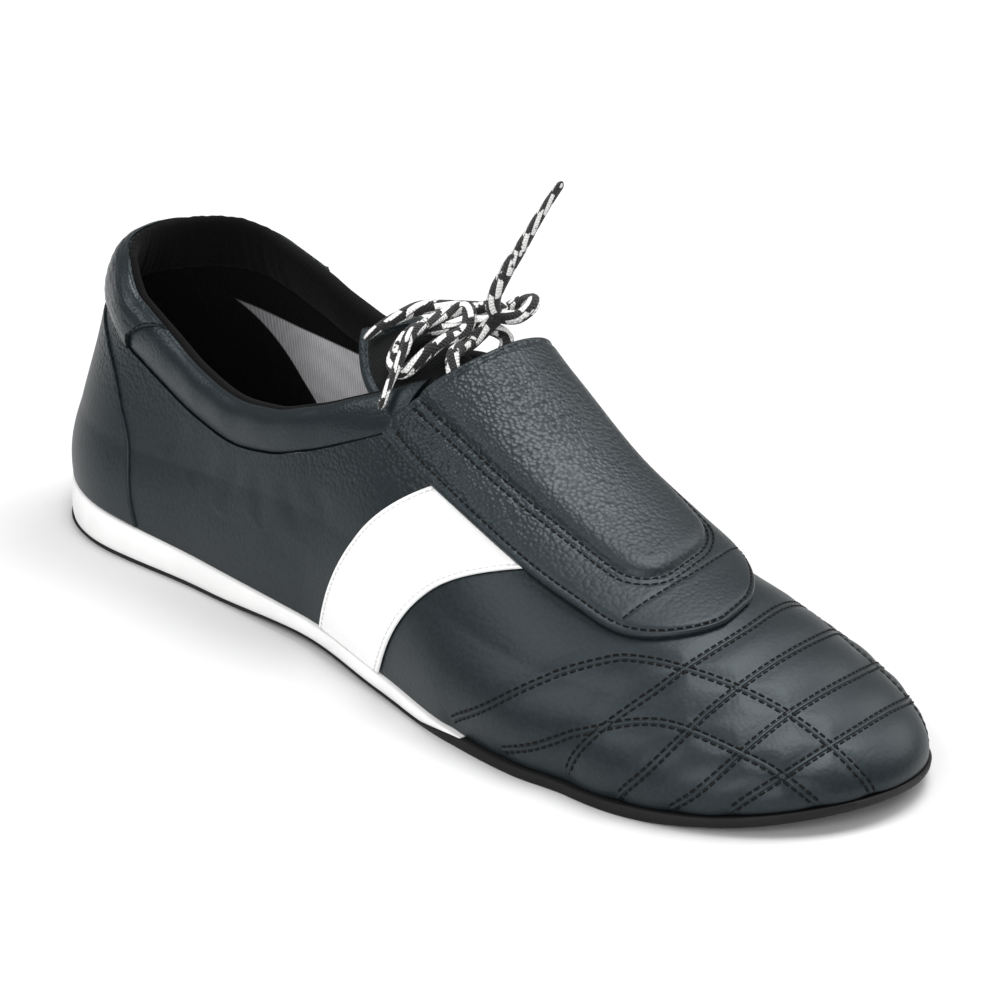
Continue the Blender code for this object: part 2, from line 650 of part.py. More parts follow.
def sole_layer(name, turns, layers, material_name, cap_front=False, toe_inset=0.0):
    """Solid lofted along the sole; each layer has how far it stands out and a function for its height."""
    rows = []
    for turn in turns:
        loop = [(share, layers[0]) for share in SOLE_SHARES]
        loop.extend((1.0, layer) for layer in layers[1:-1])
        loop.extend((share, layers[-1]) for share in SOLE_SHARES[::-1])
        loop.extend((-1.0, layer) for layer in layers[-2:0:-1])
        row = []
        for share, (grow, height) in loop:
            station, across = sole_plan(turn, share, grow - toe_inset * max(0.0, turn - 2))
            foot = rib(LATERAL, turn)[0]
            row.append((float(station), float(across), float(height(foot, station, share))))
        rows.append(row)
    made = loft(name, rows, material_name, close_across=True)
    if cap_front:
        built = bmesh.new()
        built.from_mesh(made.data)
        bmesh.ops.holes_fill(built, edges=[edge for edge in built.edges if edge.is_boundary])
        bmesh.ops.recalc_face_normals(built, faces=built.faces)
        built.to_mesh(made.data)
        built.free()
    return made


def arch(station, share):
    rise = look_up(MEDIAL_ARCH_ROWS, MEDIAL_ARCH_COLUMNS, "rise", station)
    return rise * np.clip(share, 0, 1)


def build_outsole():
    def bottom(foot, station, share):
        return sole_height("bottom", station) + arch(station, share)

    def low_side(foot, station, share):
        return bottom(foot, station, share) + OUTSOLE_CHAMFER

    def top(foot, station, share):
        return sole_height("outsole_top", foot) + arch(station, share)

    layers = (
        (OUTSOLE_EDGE - OUTSOLE_CHAMFER, bottom),
        (OUTSOLE_EDGE, low_side),
        (OUTSOLE_EDGE, top),
    )
    turns = sole_turns(extra=(MIDSOLE_END + 0.0002, MIDSOLE_END + MIDSOLE_STEP))
    return sole_layer("outsole", turns, layers, "black_rubber")


def build_midsole():
    def bottom(foot, station, share):
        return sole_height("outsole_top", foot) + arch(station, share) + GAP

    def middle(foot, station, share):
        return (bottom(foot, station, share) + top(foot, station, share)) / 2

    def top(foot, station, share):
        return last("feather", foot) - GAP

    layers = ((MIDSOLE_EDGE - 0.0003, bottom), (MIDSOLE_EDGE, middle), (MIDSOLE_EDGE - 0.0006, top))
    turns = sole_turns(end=MIDSOLE_END - GAP)
    return sole_layer("midsole", turns, layers, "white_rubber", cap_front=True)


def build_insole():
    def bottom(foot, station, share):
        return last("feather", foot) + GAP

    def top(foot, station, share):
        return last("feather", foot) + GAP + INSOLE_THICKNESS

    layers = ((-INSOLE_INSET, bottom), (-INSOLE_INSET, top))
    return sole_layer("insole", sole_turns(), layers, "grey_textile", toe_inset=INSOLE_TOE_INSET)


def smooth_route(points, step):
    """Points a step apart on a smooth curve through a route's own points."""
    route = np.array(points, float)
    padded = np.concatenate([2 * route[:1] - route[1:2], route, 2 * route[-1:] - route[-2:-1]])
    curve = []
    for before, start, end, after in zip(padded, padded[1:], padded[2:], padded[3:]):
        for share in np.linspace(0, 1, 12, endpoint=False):
            curve.append(0.5 * (2 * start + (end - before) * share
                                + (2 * before - 5 * start + 4 * end - after) * share**2
                                + (3 * start - 3 * end + after - before) * share**3))
    curve.append(route[-1])
    curve = np.array(curve)
    lengths = np.concatenate([[0], np.cumsum(np.linalg.norm(np.diff(curve, axis=0), axis=1))])
    count = max(4, int(math.ceil(lengths[-1] / step)) + 1)
    marks = np.linspace(0, lengths[-1], count)
    return np.stack([np.interp(marks, lengths, curve[:, axis]) for axis in range(3)], -1)


def build_cord(name, points):
    data = bpy.data.curves.new(name, "CURVE")
    data.dimensions = "3D"
    data.bevel_depth = LACE / 2
    data.bevel_resolution = LACE_SIDES_RESOLUTION
    data.use_fill_caps = True
    spline = data.splines.new("POLY")
    spline.points.add(len(points) - 1)
    for place, point in zip(spline.points, points):
        place.co = (*point, 1.0)
    return add_object(name, data, "flecked_lace")


def on_tongue(rows):
    """Points over the tongue's face from rows of station, distance from the spine and rise."""
    station, across, rise = np.array(rows).T
    return over(station, across, look_up(TONGUE_ROWS, TONGUE_COLUMNS, "lift", station) + rise)


def knot_ends(way):
    """Two points where a strand leaves the knot: just clear of its surface, and a little further out."""
    size = np.array(KNOT_SIZE)
    normal = np.array(way) / np.linalg.norm(way)
    touch = size**2 * normal / np.linalg.norm(size * normal)
    return touch + normal * KNOT_CLEAR, touch + normal * (KNOT_CLEAR + LACE / 2)


def lace_route(leave, points, come_back):
    """Smooth route through a strand's points and its ends at the knot."""
    centre = on_tongue([KNOT_PLACE])[0]
    route = list(points)
    if leave is not None:
        close, clear = knot_ends(leave)
        route = [centre + close, centre + clear] + route
    if come_back is not None:
        close, clear = knot_ends(come_back)
        route = route + [centre + clear, centre + close]
    return smooth_route(route, LACE_POINT_STEP)


def build_lace():
    for number, station in enumerate(BAR_STATIONS, 1):
        across = np.linspace(-BAR_HALF, BAR_HALF, 7)
        points = over(np.full(7, station), across, np.full(7, BAR_LIFT))
        build_cord(f"lace_bar_{number}", points)
    centre = on_tongue([KNOT_PLACE])[0]
    built = bmesh.new()
    bmesh.ops.create_uvsphere(built, u_segments=12, v_segments=8, radius=1.0)
    bmesh.ops.scale(built, vec=KNOT_SIZE, verts=built.verts)
    bmesh.ops.translate(built, vec=centre, verts=built.verts)
    data = bpy.data.meshes.new("lace_knot")
    built.to_mesh(data)
    built.free()
    data.shade_smooth()
    add_object("lace_knot", data, "flecked_lace")
    for name, (leave, rows, come_back) in LACE_LAID.items():
        build_cord(name, lace_route(leave, on_tongue(rows), come_back))
    for name, (leave, places, come_back) in LACE_STANDING.items():
        build_cord(name, lace_route(leave, centre + np.array(places), come_back))


def centre_on_floor(parts):
    """Parent the parts to an empty that puts their box's bottom centre at the origin."""
    corners = []
    for part in parts:
        if part.name == "lace_knot" or part.name in LACE_LAID or part.name in LACE_STANDING:
            continue
        corners.extend(np.array(corner) for corner in part.bound_box)
    corners = np.array(corners)
    low = corners.min(axis=0)
    high = corners.max(axis=0)
    root = bpy.data.objects.new("shoe", None)
    bpy.data.collections[COLLECTION].objects.link(root)
    root.location = (-(low[0] + high[0]) / 2, -(low[1] + high[1]) / 2, -low[2])
    for part in parts:
        part.parent = root


def main():
    for old in list(bpy.data.objects):
        bpy.data.objects.remove(old, do_unlink=True)
    collection = bpy.data.collections.new(COLLECTION)
    bpy.context.scene.collection.children.link(collection)
    build_outsole()
    build_midsole()
    build_insole()
    build_upper()
    build_collar()
    build_heel_counter()
    build_heel_tab()
    build_side_panel("side_panel_lateral", LATERAL)
    build_side_panel("side_panel_medial", MEDIAL)
    build_tongue()
    build_lace_cover()
    build_lace()
    bpy.context.view_layer.update()
    centre_on_floor(list(collection.objects))


main()
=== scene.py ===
"""Looks of a taekwondo shoe for the right foot, built around its solids and laid out as a Blender add-on."""
import math

import bmesh
import bpy
import numpy as np
from mathutils import Matrix
from mathutils.kdtree import KDTree


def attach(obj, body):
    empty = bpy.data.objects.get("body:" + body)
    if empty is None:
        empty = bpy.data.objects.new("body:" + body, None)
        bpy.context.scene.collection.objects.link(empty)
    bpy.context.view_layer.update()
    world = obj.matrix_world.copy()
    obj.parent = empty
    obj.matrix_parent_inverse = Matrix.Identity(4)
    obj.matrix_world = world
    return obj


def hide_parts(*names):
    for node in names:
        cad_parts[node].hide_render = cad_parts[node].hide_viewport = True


bl_info = {
    "name": "Taekwondo Shoe",
    "version": (1, 0, 0),
    "blender": (4, 5, 0),
    "location": "3D View > Sidebar > Shoe",
    "description": "Leather, stitching, lace and sole of a taekwondo shoe",
    "category": "Object",
}

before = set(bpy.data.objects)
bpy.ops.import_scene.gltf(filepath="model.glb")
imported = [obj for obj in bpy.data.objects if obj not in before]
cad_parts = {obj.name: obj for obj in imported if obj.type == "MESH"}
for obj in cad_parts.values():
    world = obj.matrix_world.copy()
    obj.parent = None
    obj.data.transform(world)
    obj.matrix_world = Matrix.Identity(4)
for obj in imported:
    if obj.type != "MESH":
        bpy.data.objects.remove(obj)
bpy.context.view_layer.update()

# Sides of the shoe, as signs of Y
LATERAL = -1
MEDIAL = 1

# Plan of the last, in metres: stations run along X from near the heel's back
HEEL_BACK = -0.004
HEEL_CENTRE = 0.035
TOE_CENTRE = 0.222
TOE_TIP = 0.282
TOE_LENGTH = TOE_TIP - TOE_CENTRE
TOE_TIP_ACROSS = 0.008
SPINE_BEND_START = 0.130
SPINE_BEND_POWER = 1.5
HEEL_POWER = 2.1

# Sections of the last, one row each
LAST = (
    ("station", "lateral", "medial", "ridge", "feather",
     "bulge", "bulge_height", "side_power", "top_power", "lean"),
    (-0.004, 0.0350, 0.0340, 0.0975, 0.0128, 0.0006, 0.010, 2.20, 2.40, 0.0053),
    (0.035, 0.0350, 0.0340, 0.0975, 0.0105, 0.0008, 0.010, 2.20, 2.40, 0.0053),
    (0.070, 0.0330, 0.0330, 0.0975, 0.0085, 0.0010, 0.012, 2.20, 2.40, 0.0025),
    (0.110, 0.0328, 0.0310, 0.0880, 0.0070, 0.0010, 0.014, 2.10, 2.20, 0.0),
    (0.150, 0.0390, 0.0350, 0.0690, 0.0056, 0.0012, 0.014, 2.00, 2.00, 0.0),
    (0.180, 0.0448, 0.0395, 0.0530, 0.0040, 0.0018, 0.012, 2.00, 2.00, 0.0),
    (0.205, 0.0466, 0.0420, 0.0435, 0.0033, 0.0022, 0.011, 2.00, 2.00, 0.0),
    (0.222, 0.0450, 0.0418, 0.0395, 0.0033, 0.0022, 0.011, 2.00, 2.00, 0.0),
    (0.255, 0.0450, 0.0418, 0.0320, 0.0043, 0.0022, 0.010, 2.00, 2.00, 0.0),
    (0.282, 0.0450, 0.0418, 0.0250, 0.0080, 0.0015, 0.008, 2.00, 2.00, 0.0),
)

# Heights between which the back and the outer side of the heel lean in
LEAN_START = 0.014
LEAN_FULL = 0.056

# Gap between pieces that meet
GAP = 0.0003

# Upper: throat, and the number of ribs and rows
THROAT_HALF = 0.010
THROAT_END = 0.205
COLLAR_END = 0.136
EYESTAY_START = 0.1375
HEEL_RIBS = 64
QUARTER_RIBS = 92
EYESTAY_RIBS = 62
VAMP_RIBS = 16
TOE_RIBS = 110
UPPER_ROWS = 84
LINING_ROWS = 24
LOW_ROWS_SHARE = 0.80
EYESTAY_BLEND_END = 0.158
ROW_POWER = 1.15

# Grey lining of the sides: it starts along a leaning line, and its top curves up towards the heel
LINING_START = 0.0595
LINING_LEAN = 0.8625
LINING_TOP = 0.0459
LINING_CURVE_START = 0.036
LINING_CURVE = 11.6
LINING_EDGE = 0.0004
# Painted shade on the grey lining: the grey is at its darkest behind the first of these stations and
# brightens over the length after it
LINING_PAINTED_SHADE_START = 0.010
LINING_PAINTED_SHADE_FADE = 0.036

# Seams across the vamp, by share of the toe's length ahead of its centre and share of the way
# down from the ridge, lateral side negative
CROSS_SEAMS = (
    ((-0.14, 0.96), (-0.02, 0.65), (0.075, 0.35), (0.157, -0.03), (0.163, -0.35), (0.13, -0.573),
     (0.003, -0.96)),
    ((0.03, 0.96), (0.14, 0.62), (0.238, 0.27), (0.285, -0.06), (0.312, -0.43), (0.307, -0.734),
     (0.256, -0.96)),
    ((0.20, 0.93), (0.31, 0.60), (0.396, 0.298), (0.439, -0.044), (0.472, -0.418), (0.495, -0.70),
     (0.48, -0.86)),
    ((0.40, 0.88), (0.48, 0.62), (0.534, 0.389), (0.587, 0.026), (0.625, -0.332), (0.652, -0.608),
     (0.67, -0.71)),
)
ARC_SEAMS = (
    ((-0.66, -0.97), (-0.43, -0.822), (-0.118, -0.538), (0.14, -0.336), (0.459, -0.185), (0.813, -0.148),
     (0.97, -0.137)),
    ((-0.337, -0.97), (-0.15, -0.884), (0.041, -0.74), (0.245, -0.538), (0.489, -0.438), (0.625, -0.412),
     (0.88, -0.41)),
    ((-0.66, 0.97), (-0.43, 0.84), (-0.118, 0.64), (0.14, 0.52), (0.38, 0.50), (0.62, 0.52), (0.80, 0.55)),
    ((-0.337, 0.97), (-0.15, 0.90), (0.041, 0.81), (0.22, 0.75), (0.40, 0.74), (0.60, 0.76)),
)
SEAM_STEP = 0.008
SEAM_RIDGE = 0.00030
SEAM_RIDGE_SHARE = 0.36

# Creases of the quarters: station, share of the way up to the collar, length, direction, depth, width
CREASES = (
    (0.058, 0.76, 0.014, 60.0, 0.00022, 0.0026),
    (0.070, 0.72, 0.016, 52.0, 0.00026, 0.0030),
    (0.082, 0.70, 0.016, 70.0, 0.00026, 0.0028),
    (0.094, 0.66, 0.018, 104.0, 0.00026, 0.0030),
    (0.106, 0.68, 0.016, 122.0, 0.00026, 0.0028),
    (0.117, 0.70, 0.014, 130.0, 0.00022, 0.0026),
    (0.083, 0.44, 0.024, 8.0, 0.00022, 0.0036),
    (0.106, 0.38, 0.022, 172.0, 0.00022, 0.0036),
)
CREASE_POINTS = 13

# Collar roll, one row for each section: heights of its seam and rim, lifts of its faces
COLLAR = (
    ("station", "seam", "rim", "outside", "inside"),
    (-0.004, 0.0620, 0.0785, 0.0012, -0.0042),
    (0.015, 0.0600, 0.0765, 0.0012, -0.0042),
    (0.036, 0.0535, 0.0690, 0.0014, -0.0042),
    (0.050, 0.0490, 0.0640, 0.0015, -0.0044),
    (0.065, 0.0450, 0.0588, 0.0016, -0.0046),
    (0.080, 0.0432, 0.0565, 0.0016, -0.0046),
    (0.095, 0.0452, 0.0580, 0.0016, -0.0046),
    (0.110, 0.0502, 0.0628, 0.0014, -0.0042),
    (0.125, 0.0568, 0.0692, 0.0008, -0.0034),
    (0.136, 0.0620, 0.0738, 0.0004, -0.0026),
)
MEDIAL_RISE = 0.004
MEDIAL_RISE_FULL = 0.060
MEDIAL_FALL_START = 0.090
COLLAR_POWER = 2.1
COLLAR_HEIGHT = 0.0160
COLLAR_AROUND = 60
COLLAR_LINING_ANGLES = (66.0, 282.0)
COLLAR_GROOVE_DEPTH = 0.0005
COLLAR_GROOVE_WIDTH = 6.0
COLLAR_SETTLE = 0.0004
COLLAR_SLACK = 0.00015
COLLAR_BULGE = 0.0011
COLLAR_BULGE_TILT = 0.25
COLLAR_BULGE_TURNS = (0.65, 0.98)
COLLAR_BULGE_BEFORE_END = (0.16, 0.02)
COLLAR_SAG = 0.00022
COLLAR_SAG_WAVES = (61.0, 23.0)
COLLAR_SAG_SHIFT = 1.0
COLLAR_SAG_TILT = 30.0
COLLAR_MEDIAL_DROP = 25.0
COLLAR_DROP_SPREAD = 55.0
COLLAR_DROP_TURN = 0.5

# Overlays: lift of the outer face from the last, thickness, roundness of the edges, points up and along
OVERLAY_LIFT = 0.0012
OVERLAY_WALL = 0.0008
OVERLAY_ROUND = 0.0006
COUNTER = (
    ("share", "turn"),
    (0.0, 1.056), (0.40, 1.034), (0.62, 1.005), (0.80, 0.905), (0.90, 0.76), (1.0, 0.55),
)
COUNTER_BELOW_SEAM = 0.0024
COUNTER_LIFT = 0.0007
COUNTER_WALL = 0.0006
COUNTER_GRID = (60, 190)
SIDE_PANEL = (
    ("share", "rear", "front"),
    (0.0, 0.120, 0.149), (0.5, 0.134, 0.164), (1.0, 0.155, 0.189),
)
SIDE_PANEL_TOP = 0.0240
SIDE_PANEL_GRID = (110, 64)
PANEL_TROUGH = (0.00018, 0.0006)
PANEL_STITCH_INSET = 0.0014
PANEL_STITCH_SCALE = 0.8
TAB_GROW = 0.0013
TAB = (
    ("section_angle", "station"),
    (-60.0, 0.0300), (0.0, 0.0385), (90.0, 0.0515),
)
TAB_TOP = 63.0
TAB_THIN_START = 20.0
TAB_THIN = 0.0010
TAB_SEAT = 0.0001
TAB_CRINKLE = 0.00008
TAB_FOLD_WAVES = 26.0
TAB_FOLD_BEND = (2.0, 9.0)
TAB_FOLD_BREAKS = (17.0, 2.0)
TAB_GRID = (46, 190)
# Line of the tab's points, counted from its edge, that the stitches follow
TAB_STITCH_LINE = 2

# Tongue: lift of its outer face and half width along the shoe
TONGUE = (
    ("station", "lift", "half"),
    (0.108, -0.0064, 0.0200),
    (0.118, -0.0058, 0.0215),
    (0.130, -0.0047, 0.0220),
    (0.1365, -0.0043, 0.0215),
    (0.145, -0.0029, 0.0210),
    (0.200, -0.0024, 0.0170),
)
TONGUE_WALL = 0.0026
TONGUE_ROUND = TONGUE_WALL * 0.48
TONGUE_GRID = (150, 90)
TONGUE_TIP = 0.117
TONGUE_TIP_SWEEP = 0.008
TONGUE_END = 0.199
TONGUE_CORNER = 0.012
TONGUE_CORNER_SHARE = 0.34
BINDING_WIDTH = 0.0032
BINDING_GROOVE = (0.0004, 0.0006)

# Lace cover: lifts of its crown and edges, half width, raised pad, depth and width of the troughs under
# its stitches
COVER = (
    ("station", "crown", "edge", "half"),
    (0.134, 0.0122, 0.0039, 0.0232),
    (0.150, 0.0098, 0.0040, 0.0248),
    (0.170, 0.0076, 0.0039, 0.0258),
    (0.190, 0.0062, 0.0036, 0.0262),
    (0.205, 0.0050, 0.0032, 0.0258),
    (0.222, 0.0028, 0.0022, 0.0250),
    (0.236, 0.0020, 0.0019, 0.0236),
)
COVER_START = 0.1345
COVER_END = 0.2340
COVER_ROUND_START = 0.2060
COVER_ROUND_POWER = 3.0
COVER_ROUND_SHARE = 0.985
COVER_PROFILE = (
    ("across", "rise"),
    (-1.0, 0.0), (-0.5, 0.11), (0.0, 0.42), (0.35, 0.80), (0.64, 1.0), (0.84, 0.82), (1.0, 0.10),
)
COVER_TOP_SWEEP = 0.0075
COVER_TOP_SWEEP_END = 0.1700
COVER_SLANT = 11.5
COVER_SLANT_FROM = -0.013
COVER_SLANT_START = 0.170
COVER_ALONG = 170
COVER_ROUND_STEPS = 60
COVER_ACROSS = 132
COVER_CROWD_ALONG = 1.25
COVER_CROWD_ACROSS = 1.35
COVER_EDGE_ROUND = 0.0009
COVER_SINK = 0.0003
COVER_TROUGH = (0.00030, 0.0007)
PAD = (
    ("station", "lateral", "medial"),
    (0.134, 0.0152, 0.0160),
    (0.160, 0.0152, 0.0170),
    (0.190, 0.0137, 0.0172),
    (0.214, 0.0126, 0.0150),
)
PAD_END = 0.2140
PAD_CORNER = 0.0095
PAD_SHOULDER = 0.005
PAD_TROUGH = (0.00022, 0.0005)
PAD_SEAM_ROWS = (0.0006, 0.0024)
PAD_SEAM_START = 0.0006
CROSS_STITCH = (
    ("across", "station"),
    (-0.0222, 0.2166), (-0.0078, 0.2174), (0.0049, 0.2186), (0.0222, 0.2200),
)
CROSS_STITCH_POINTS = 120
COVER_WALL = 0.0013
COVER_EDGE_WALL = 0.0007
COVER_WALL_POWER = 4
COVER_STITCH_INSET = 0.0016
COVER_STITCH_FRONT = 0.002
# Slope of the cover's outline where it turns square to the shoe, and points along the lines of stitches
STEEPEST = -50.0
OUTLINE_POINTS = 600
OUTLINE_SIDE_POINTS = 160
OUTLINE_FRONT_POINTS = 80
OUTLINE_CORNER_POINTS = 30

# Sole: heights along the shoe of the outsole's faces, and how far each edge stands out
SOLE = (
    ("station", "bottom", "outsole_top"),
    (-0.0065, 0.0014, 0.0030),
    (0.006, 0.0000, 0.0018),
    (0.075, 0.0000, 0.0018),
    (0.110, 0.0016, 0.0030),
    (0.150, 0.0004, 0.0021),
    (0.165, 0.0000, 0.0018),
    (0.187, 0.0000, 0.0017),
)
SPRING = (
    ("station", "bottom"),
    (0.187, 0.0), (0.236, 0.0), (0.262, 0.0018), (0.2845, 0.0058),
)
MEDIAL_ARCH = (
    ("station", "rise"),
    (0.060, 0.0), (0.085, 0.0006), (0.110, 0.0014), (0.135, 0.0008), (0.165, 0.0),
)
OUTSOLE_EDGE = 0.0016
OUTSOLE_TOE_INSET = 0.0010
OUTSOLE_CHAMFER = 0.0008
OUTSOLE_CHAMFER_SIDE = 0.3
OUTSOLE_BEVEL = 0.0003
MIDSOLE_EDGE = 0.0014
MIDSOLE_END = 0.1870
MIDSOLE_STEP = 0.0020
MIDSOLE_STEP_START = 0.0002
# Rounding of the midsole's side: how far each layer lies in, and its share of the height
MIDSOLE_LAYERS = ((0.0004, 0.0), (0.0001, 0.12), (0.0, 0.45), (0.0001, 0.80), (0.0004, 0.95), (0.0008, 1.0))
MIDSOLE_SHARES = 15
RAND_TAPER = 0.0170
RAND_GAP = 0.00006
RAND_OVER = 0.0006
INSOLE_INSET = 0.0027
INSOLE_TOE_INSET = 0.0025
INSOLE_THICKNESS = 0.0030
INSOLE_BEVEL = 0.0004
INSOLE_SIDE = 0.6
INSOLE_EDGE_DROP = 0.0006
INSOLE_EDGE_POWER = 6
INSOLE_SHARES = 31
SOLE_HEEL_STEPS = 40
SOLE_MIDDLE_STEPS = 150
SOLE_TOE_STEPS = 60
SOLE_SHARES = 81
TREAD_PITCH = 0.0075
TREAD_WAVE = 0.0030
TREAD_WAVE_LENGTH = 0.022
TREAD_EDGE = 0.86
TREAD_GROOVE = (0.40, 0.49)

# Lace: a bar's points from the spine outward, by distance and lift, the eyelets and the bow's knot
BAR_STATIONS = (0.1480, 0.1600, 0.1720)
BAR_HALF = ((0.0, -0.0004), (0.0040, -0.0002), (0.0080, 0.0008), (0.0105, 0.0014), (0.0122, 0.0008),
            (0.0136, -0.0014))
BAR_ROWS = tuple((-across, lift) for across, lift in BAR_HALF[:0:-1]) + BAR_HALF
BAR_FLAT = 0.55
EYELET_ACROSS = 0.0136
EYELET_RADIUS = 0.0028
EYELET_ROLL = (0.0006, 0.0004)
EYELET_LIFT = 0.0002
EYELET_STEPS = (24, 8)
TOP_EYELET = 0.1415
KNOT_PLACE = (0.1288, 0.0105, 0.0074)
BRAID_FIT = 0.92
LACE_RING_STEP = 0.0005
LACE_SIDES = 20
LACE_TIP_START = 0.62
LACE_TIP_TAPER = 0.42
LACE_END_LEAST = 0.15
LACE_FIRST_SIDE = (0.3, 0.5, 0.8)

# Camera: it looks at a point in the shoe's own stations
CAMERA_AIM = (0.1501, 0.0, 0.0417)
CAMERA_AZIMUTH = 49.05
CAMERA_ELEVATION = 23.14
CAMERA_ROLL = -0.153
CAMERA_DISTANCE = 1.368
CAMERA_LENS = 197.6
CAMERA_SENSOR = 36.0

# Stage: reach of the floor, and the size and place of each soft light, by its power's name
FLOOR_REACH = 6.0
LIGHT_AIM = (0.0, 0.0, 0.04)
SOFTBOXES = {
    "key": (1.05, (0.15, 0.50, 1.78)),
    "fill": (1.5, (1.2, -1.5, 1.0)),
    "side": (0.9, (-0.6, -1.0, 1.3)),
    "rim": (0.7, (0.25, 1.25, 0.85)),
}

# Rings of a stitch: place along it, radius and rise, in shares of its half length and of the thread's radius
STITCH_RINGS = ((-1.0, 0.40, -0.70), (-0.65, 0.95, 0.10), (0.0, 1.0, 0.35), (0.65, 0.95, 0.10),
                (1.0, 0.40, -0.70))
STITCH_SIDES = 6
# Section of a seam's ridge, in shares of its half width and height
RIDGE_SECTION = ((-1.0, -0.8), (-0.75, 0.35), (-0.35, 0.9), (0.35, 0.9), (0.75, 0.35), (1.0, -0.8))

# Leathers: colour, width of a pebble, depth of the grain, roughness of pebbles and valleys, patchiness,
# tones of valleys and pebbles, coat
LEATHERS = {
    "Black Leather": ("leather", 0.0012, 0.00017, (0.34, 0.43), 0.35, (0.75, 1.15), 0.0),
    "Pebbled Leather": ("leather", 0.0012, 0.00012, (0.32, 0.46), 0.35, (0.75, 1.15), 0.05),
    "Collar Leather": ("leather", 0.0009, 0.00005, (0.28, 0.39), 0.7, (0.75, 1.15), 0.0),
    "White Leather": ("white", 0.0009, 0.00005, (0.45, 0.58), 0.6, (0.97, 1.0), 0.0),
}
LEATHER_TINT = (0.82, 0.93, 1.0, 1.0)
# Share of the grain's depth on the low toe and on the high quarters and cover, and the heights between
GRAIN_FINE = 0.14
GRAIN_COARSE = 1.5
GRAIN_FINE_BELOW = 0.036
GRAIN_COARSE_ABOVE = 0.066
# Grain: warp of the pebbles, pores, the range of noise that makes patches, and the ranges of its tone
# that spread over colour and gloss
GRAIN_WARP_SCALE = 420.0
GRAIN_WARP = 0.0004
GRAIN_PORE_SCALE = 2600.0
GRAIN_PORE = 0.15
GRAIN_PATCH_SCALE = 75.0
GRAIN_PATCH = (0.35, 0.65)
GRAIN_TONE = (0.0, 0.6)
GRAIN_GLOSS = (0.05, 0.6)

# Textiles: colour, pitch of the ribs, strength of the ribs, depth, sheen
TEXTILES = {
    "Pile Lining": ("lining", 0.0009, 0.1, 0.00030, 0.02),
    "Tongue Textile": ("tongue", 0.0008, 0.5, 0.00015, 0.03),
    "Insole Textile": ("insole", 0.0014, 0.8, 0.00025, 0.1),
}
TEXTILE_SHADE = 0.55
# Ribs: fuzz and how far it moves them, loops for each rib and their strength, range of heights in the tone
RIB_FUZZ_SCALE = 1500.0
RIB_FUZZ = 0.8
RIB_WOBBLE = 0.0004
RIB_LOOPS = 1.3
RIB_LOOP_SHARE = 0.35
RIB_TONE = (-1.0, 1.6)
LINING_PITCH = 0.0010
LINING_RIBBING = 0.7
LINING_DEPTH = 0.00012
LINING_GREY_SHADE = 0.22
LINING_BLACK_SHADE = 0.6

# Moulded pieces: colour, roughness from clean to smudged, scale and depth of the speckle
MOULDED = {
    "Outsole Rubber": ("rubber", (0.6, 0.75), 900.0, 0.00003),
    "Midsole Rubber": ("white", (0.40, 0.55), 1400.0, 0.00002),
    "Eyelet Enamel": ("eyelet", (0.25, 0.35), 900.0, 0.00003),
}
MOULDED_SHADE = 0.93
SMUDGE_SCALE = 45.0
SMUDGE = (0.3, 0.7)
# Threads: colour and share of its light
THREADS = {"Black Thread": ("thread", 1.0), "White Thread": ("white", 0.82)}
THREAD_SHADE = 0.7
THREAD_TWIST_SCALE = 3800.0
THREAD_DEPTH = 0.0001
# Lace: unevenness of its dashes, their shift from yarn to yarn, where they fade at ends and sides, their
# rise, lead and number of the crossing yarns, fuzz
DASH_LOOSE_SCALE = 330.0
DASH_LOOSE = 0.9
DASH_SHIFT = 0.387
DASH_END = (0.19, 0.24)
DASH_SIDE = (0.36, 0.48)
DASH_RISE = 0.5
BRAID_LEAD = 0.5
BRAID_YARNS = 4.0
LACE_FUZZ_SCALE = 3000.0
LACE_FUZZ = 0.3
LACE_DEPTH = 0.0003
FLOOR_TOOTH_SCALE = 1500.0
FLOOR_DEPTH = 0.00002

# Meshes: distance of points that are one, and angle of a sharp edge
WELD = 2e-6
SHARP_ANGLE = 55.0
CURVE_STEPS = 16
HALVINGS = 30


def length_property(name, description, default):
    return bpy.props.FloatProperty(name=name, description=description, default=default, unit="LENGTH")


def colour_property(name, description, default):
    return bpy.props.FloatVectorProperty(
        name=name, description=description, default=default, subtype="COLOR")


def power_property(name, description, default):
    return bpy.props.FloatProperty(name=name, description=description, default=default, subtype="POWER")


class ShoeSizes(bpy.types.PropertyGroup):
    """Sizes of the shoe's finish."""
    wall: length_property("Wall", "Thickness of the upper", 0.0020)
    seam_depth: length_property("Seam Depth", "Depth of the quilted troughs", 0.00050)
    seam_width: length_property("Seam Width", "Spread of the quilted troughs", 0.0030)
    stitch_pitch: length_property("Stitch Pitch", "Distance from stitch to stitch", 0.0022)
    stitch_length: length_property("Stitch Length", "Length of a stitch on the surface", 0.0020)
    thread: length_property("Thread", "Diameter of the sewing thread", 0.00056)
    row_spacing: length_property("Row Spacing", "Distance between twin stitch rows", 0.0018)
    pad_rise: length_property("Pad Rise", "Height of the lace cover's pad", 0.0018)
    lace: length_property("Lace", "Diameter of the lace", 0.0040)
    tread_depth: length_property("Tread Depth", "Depth of the outsole's grooves", 0.0007)


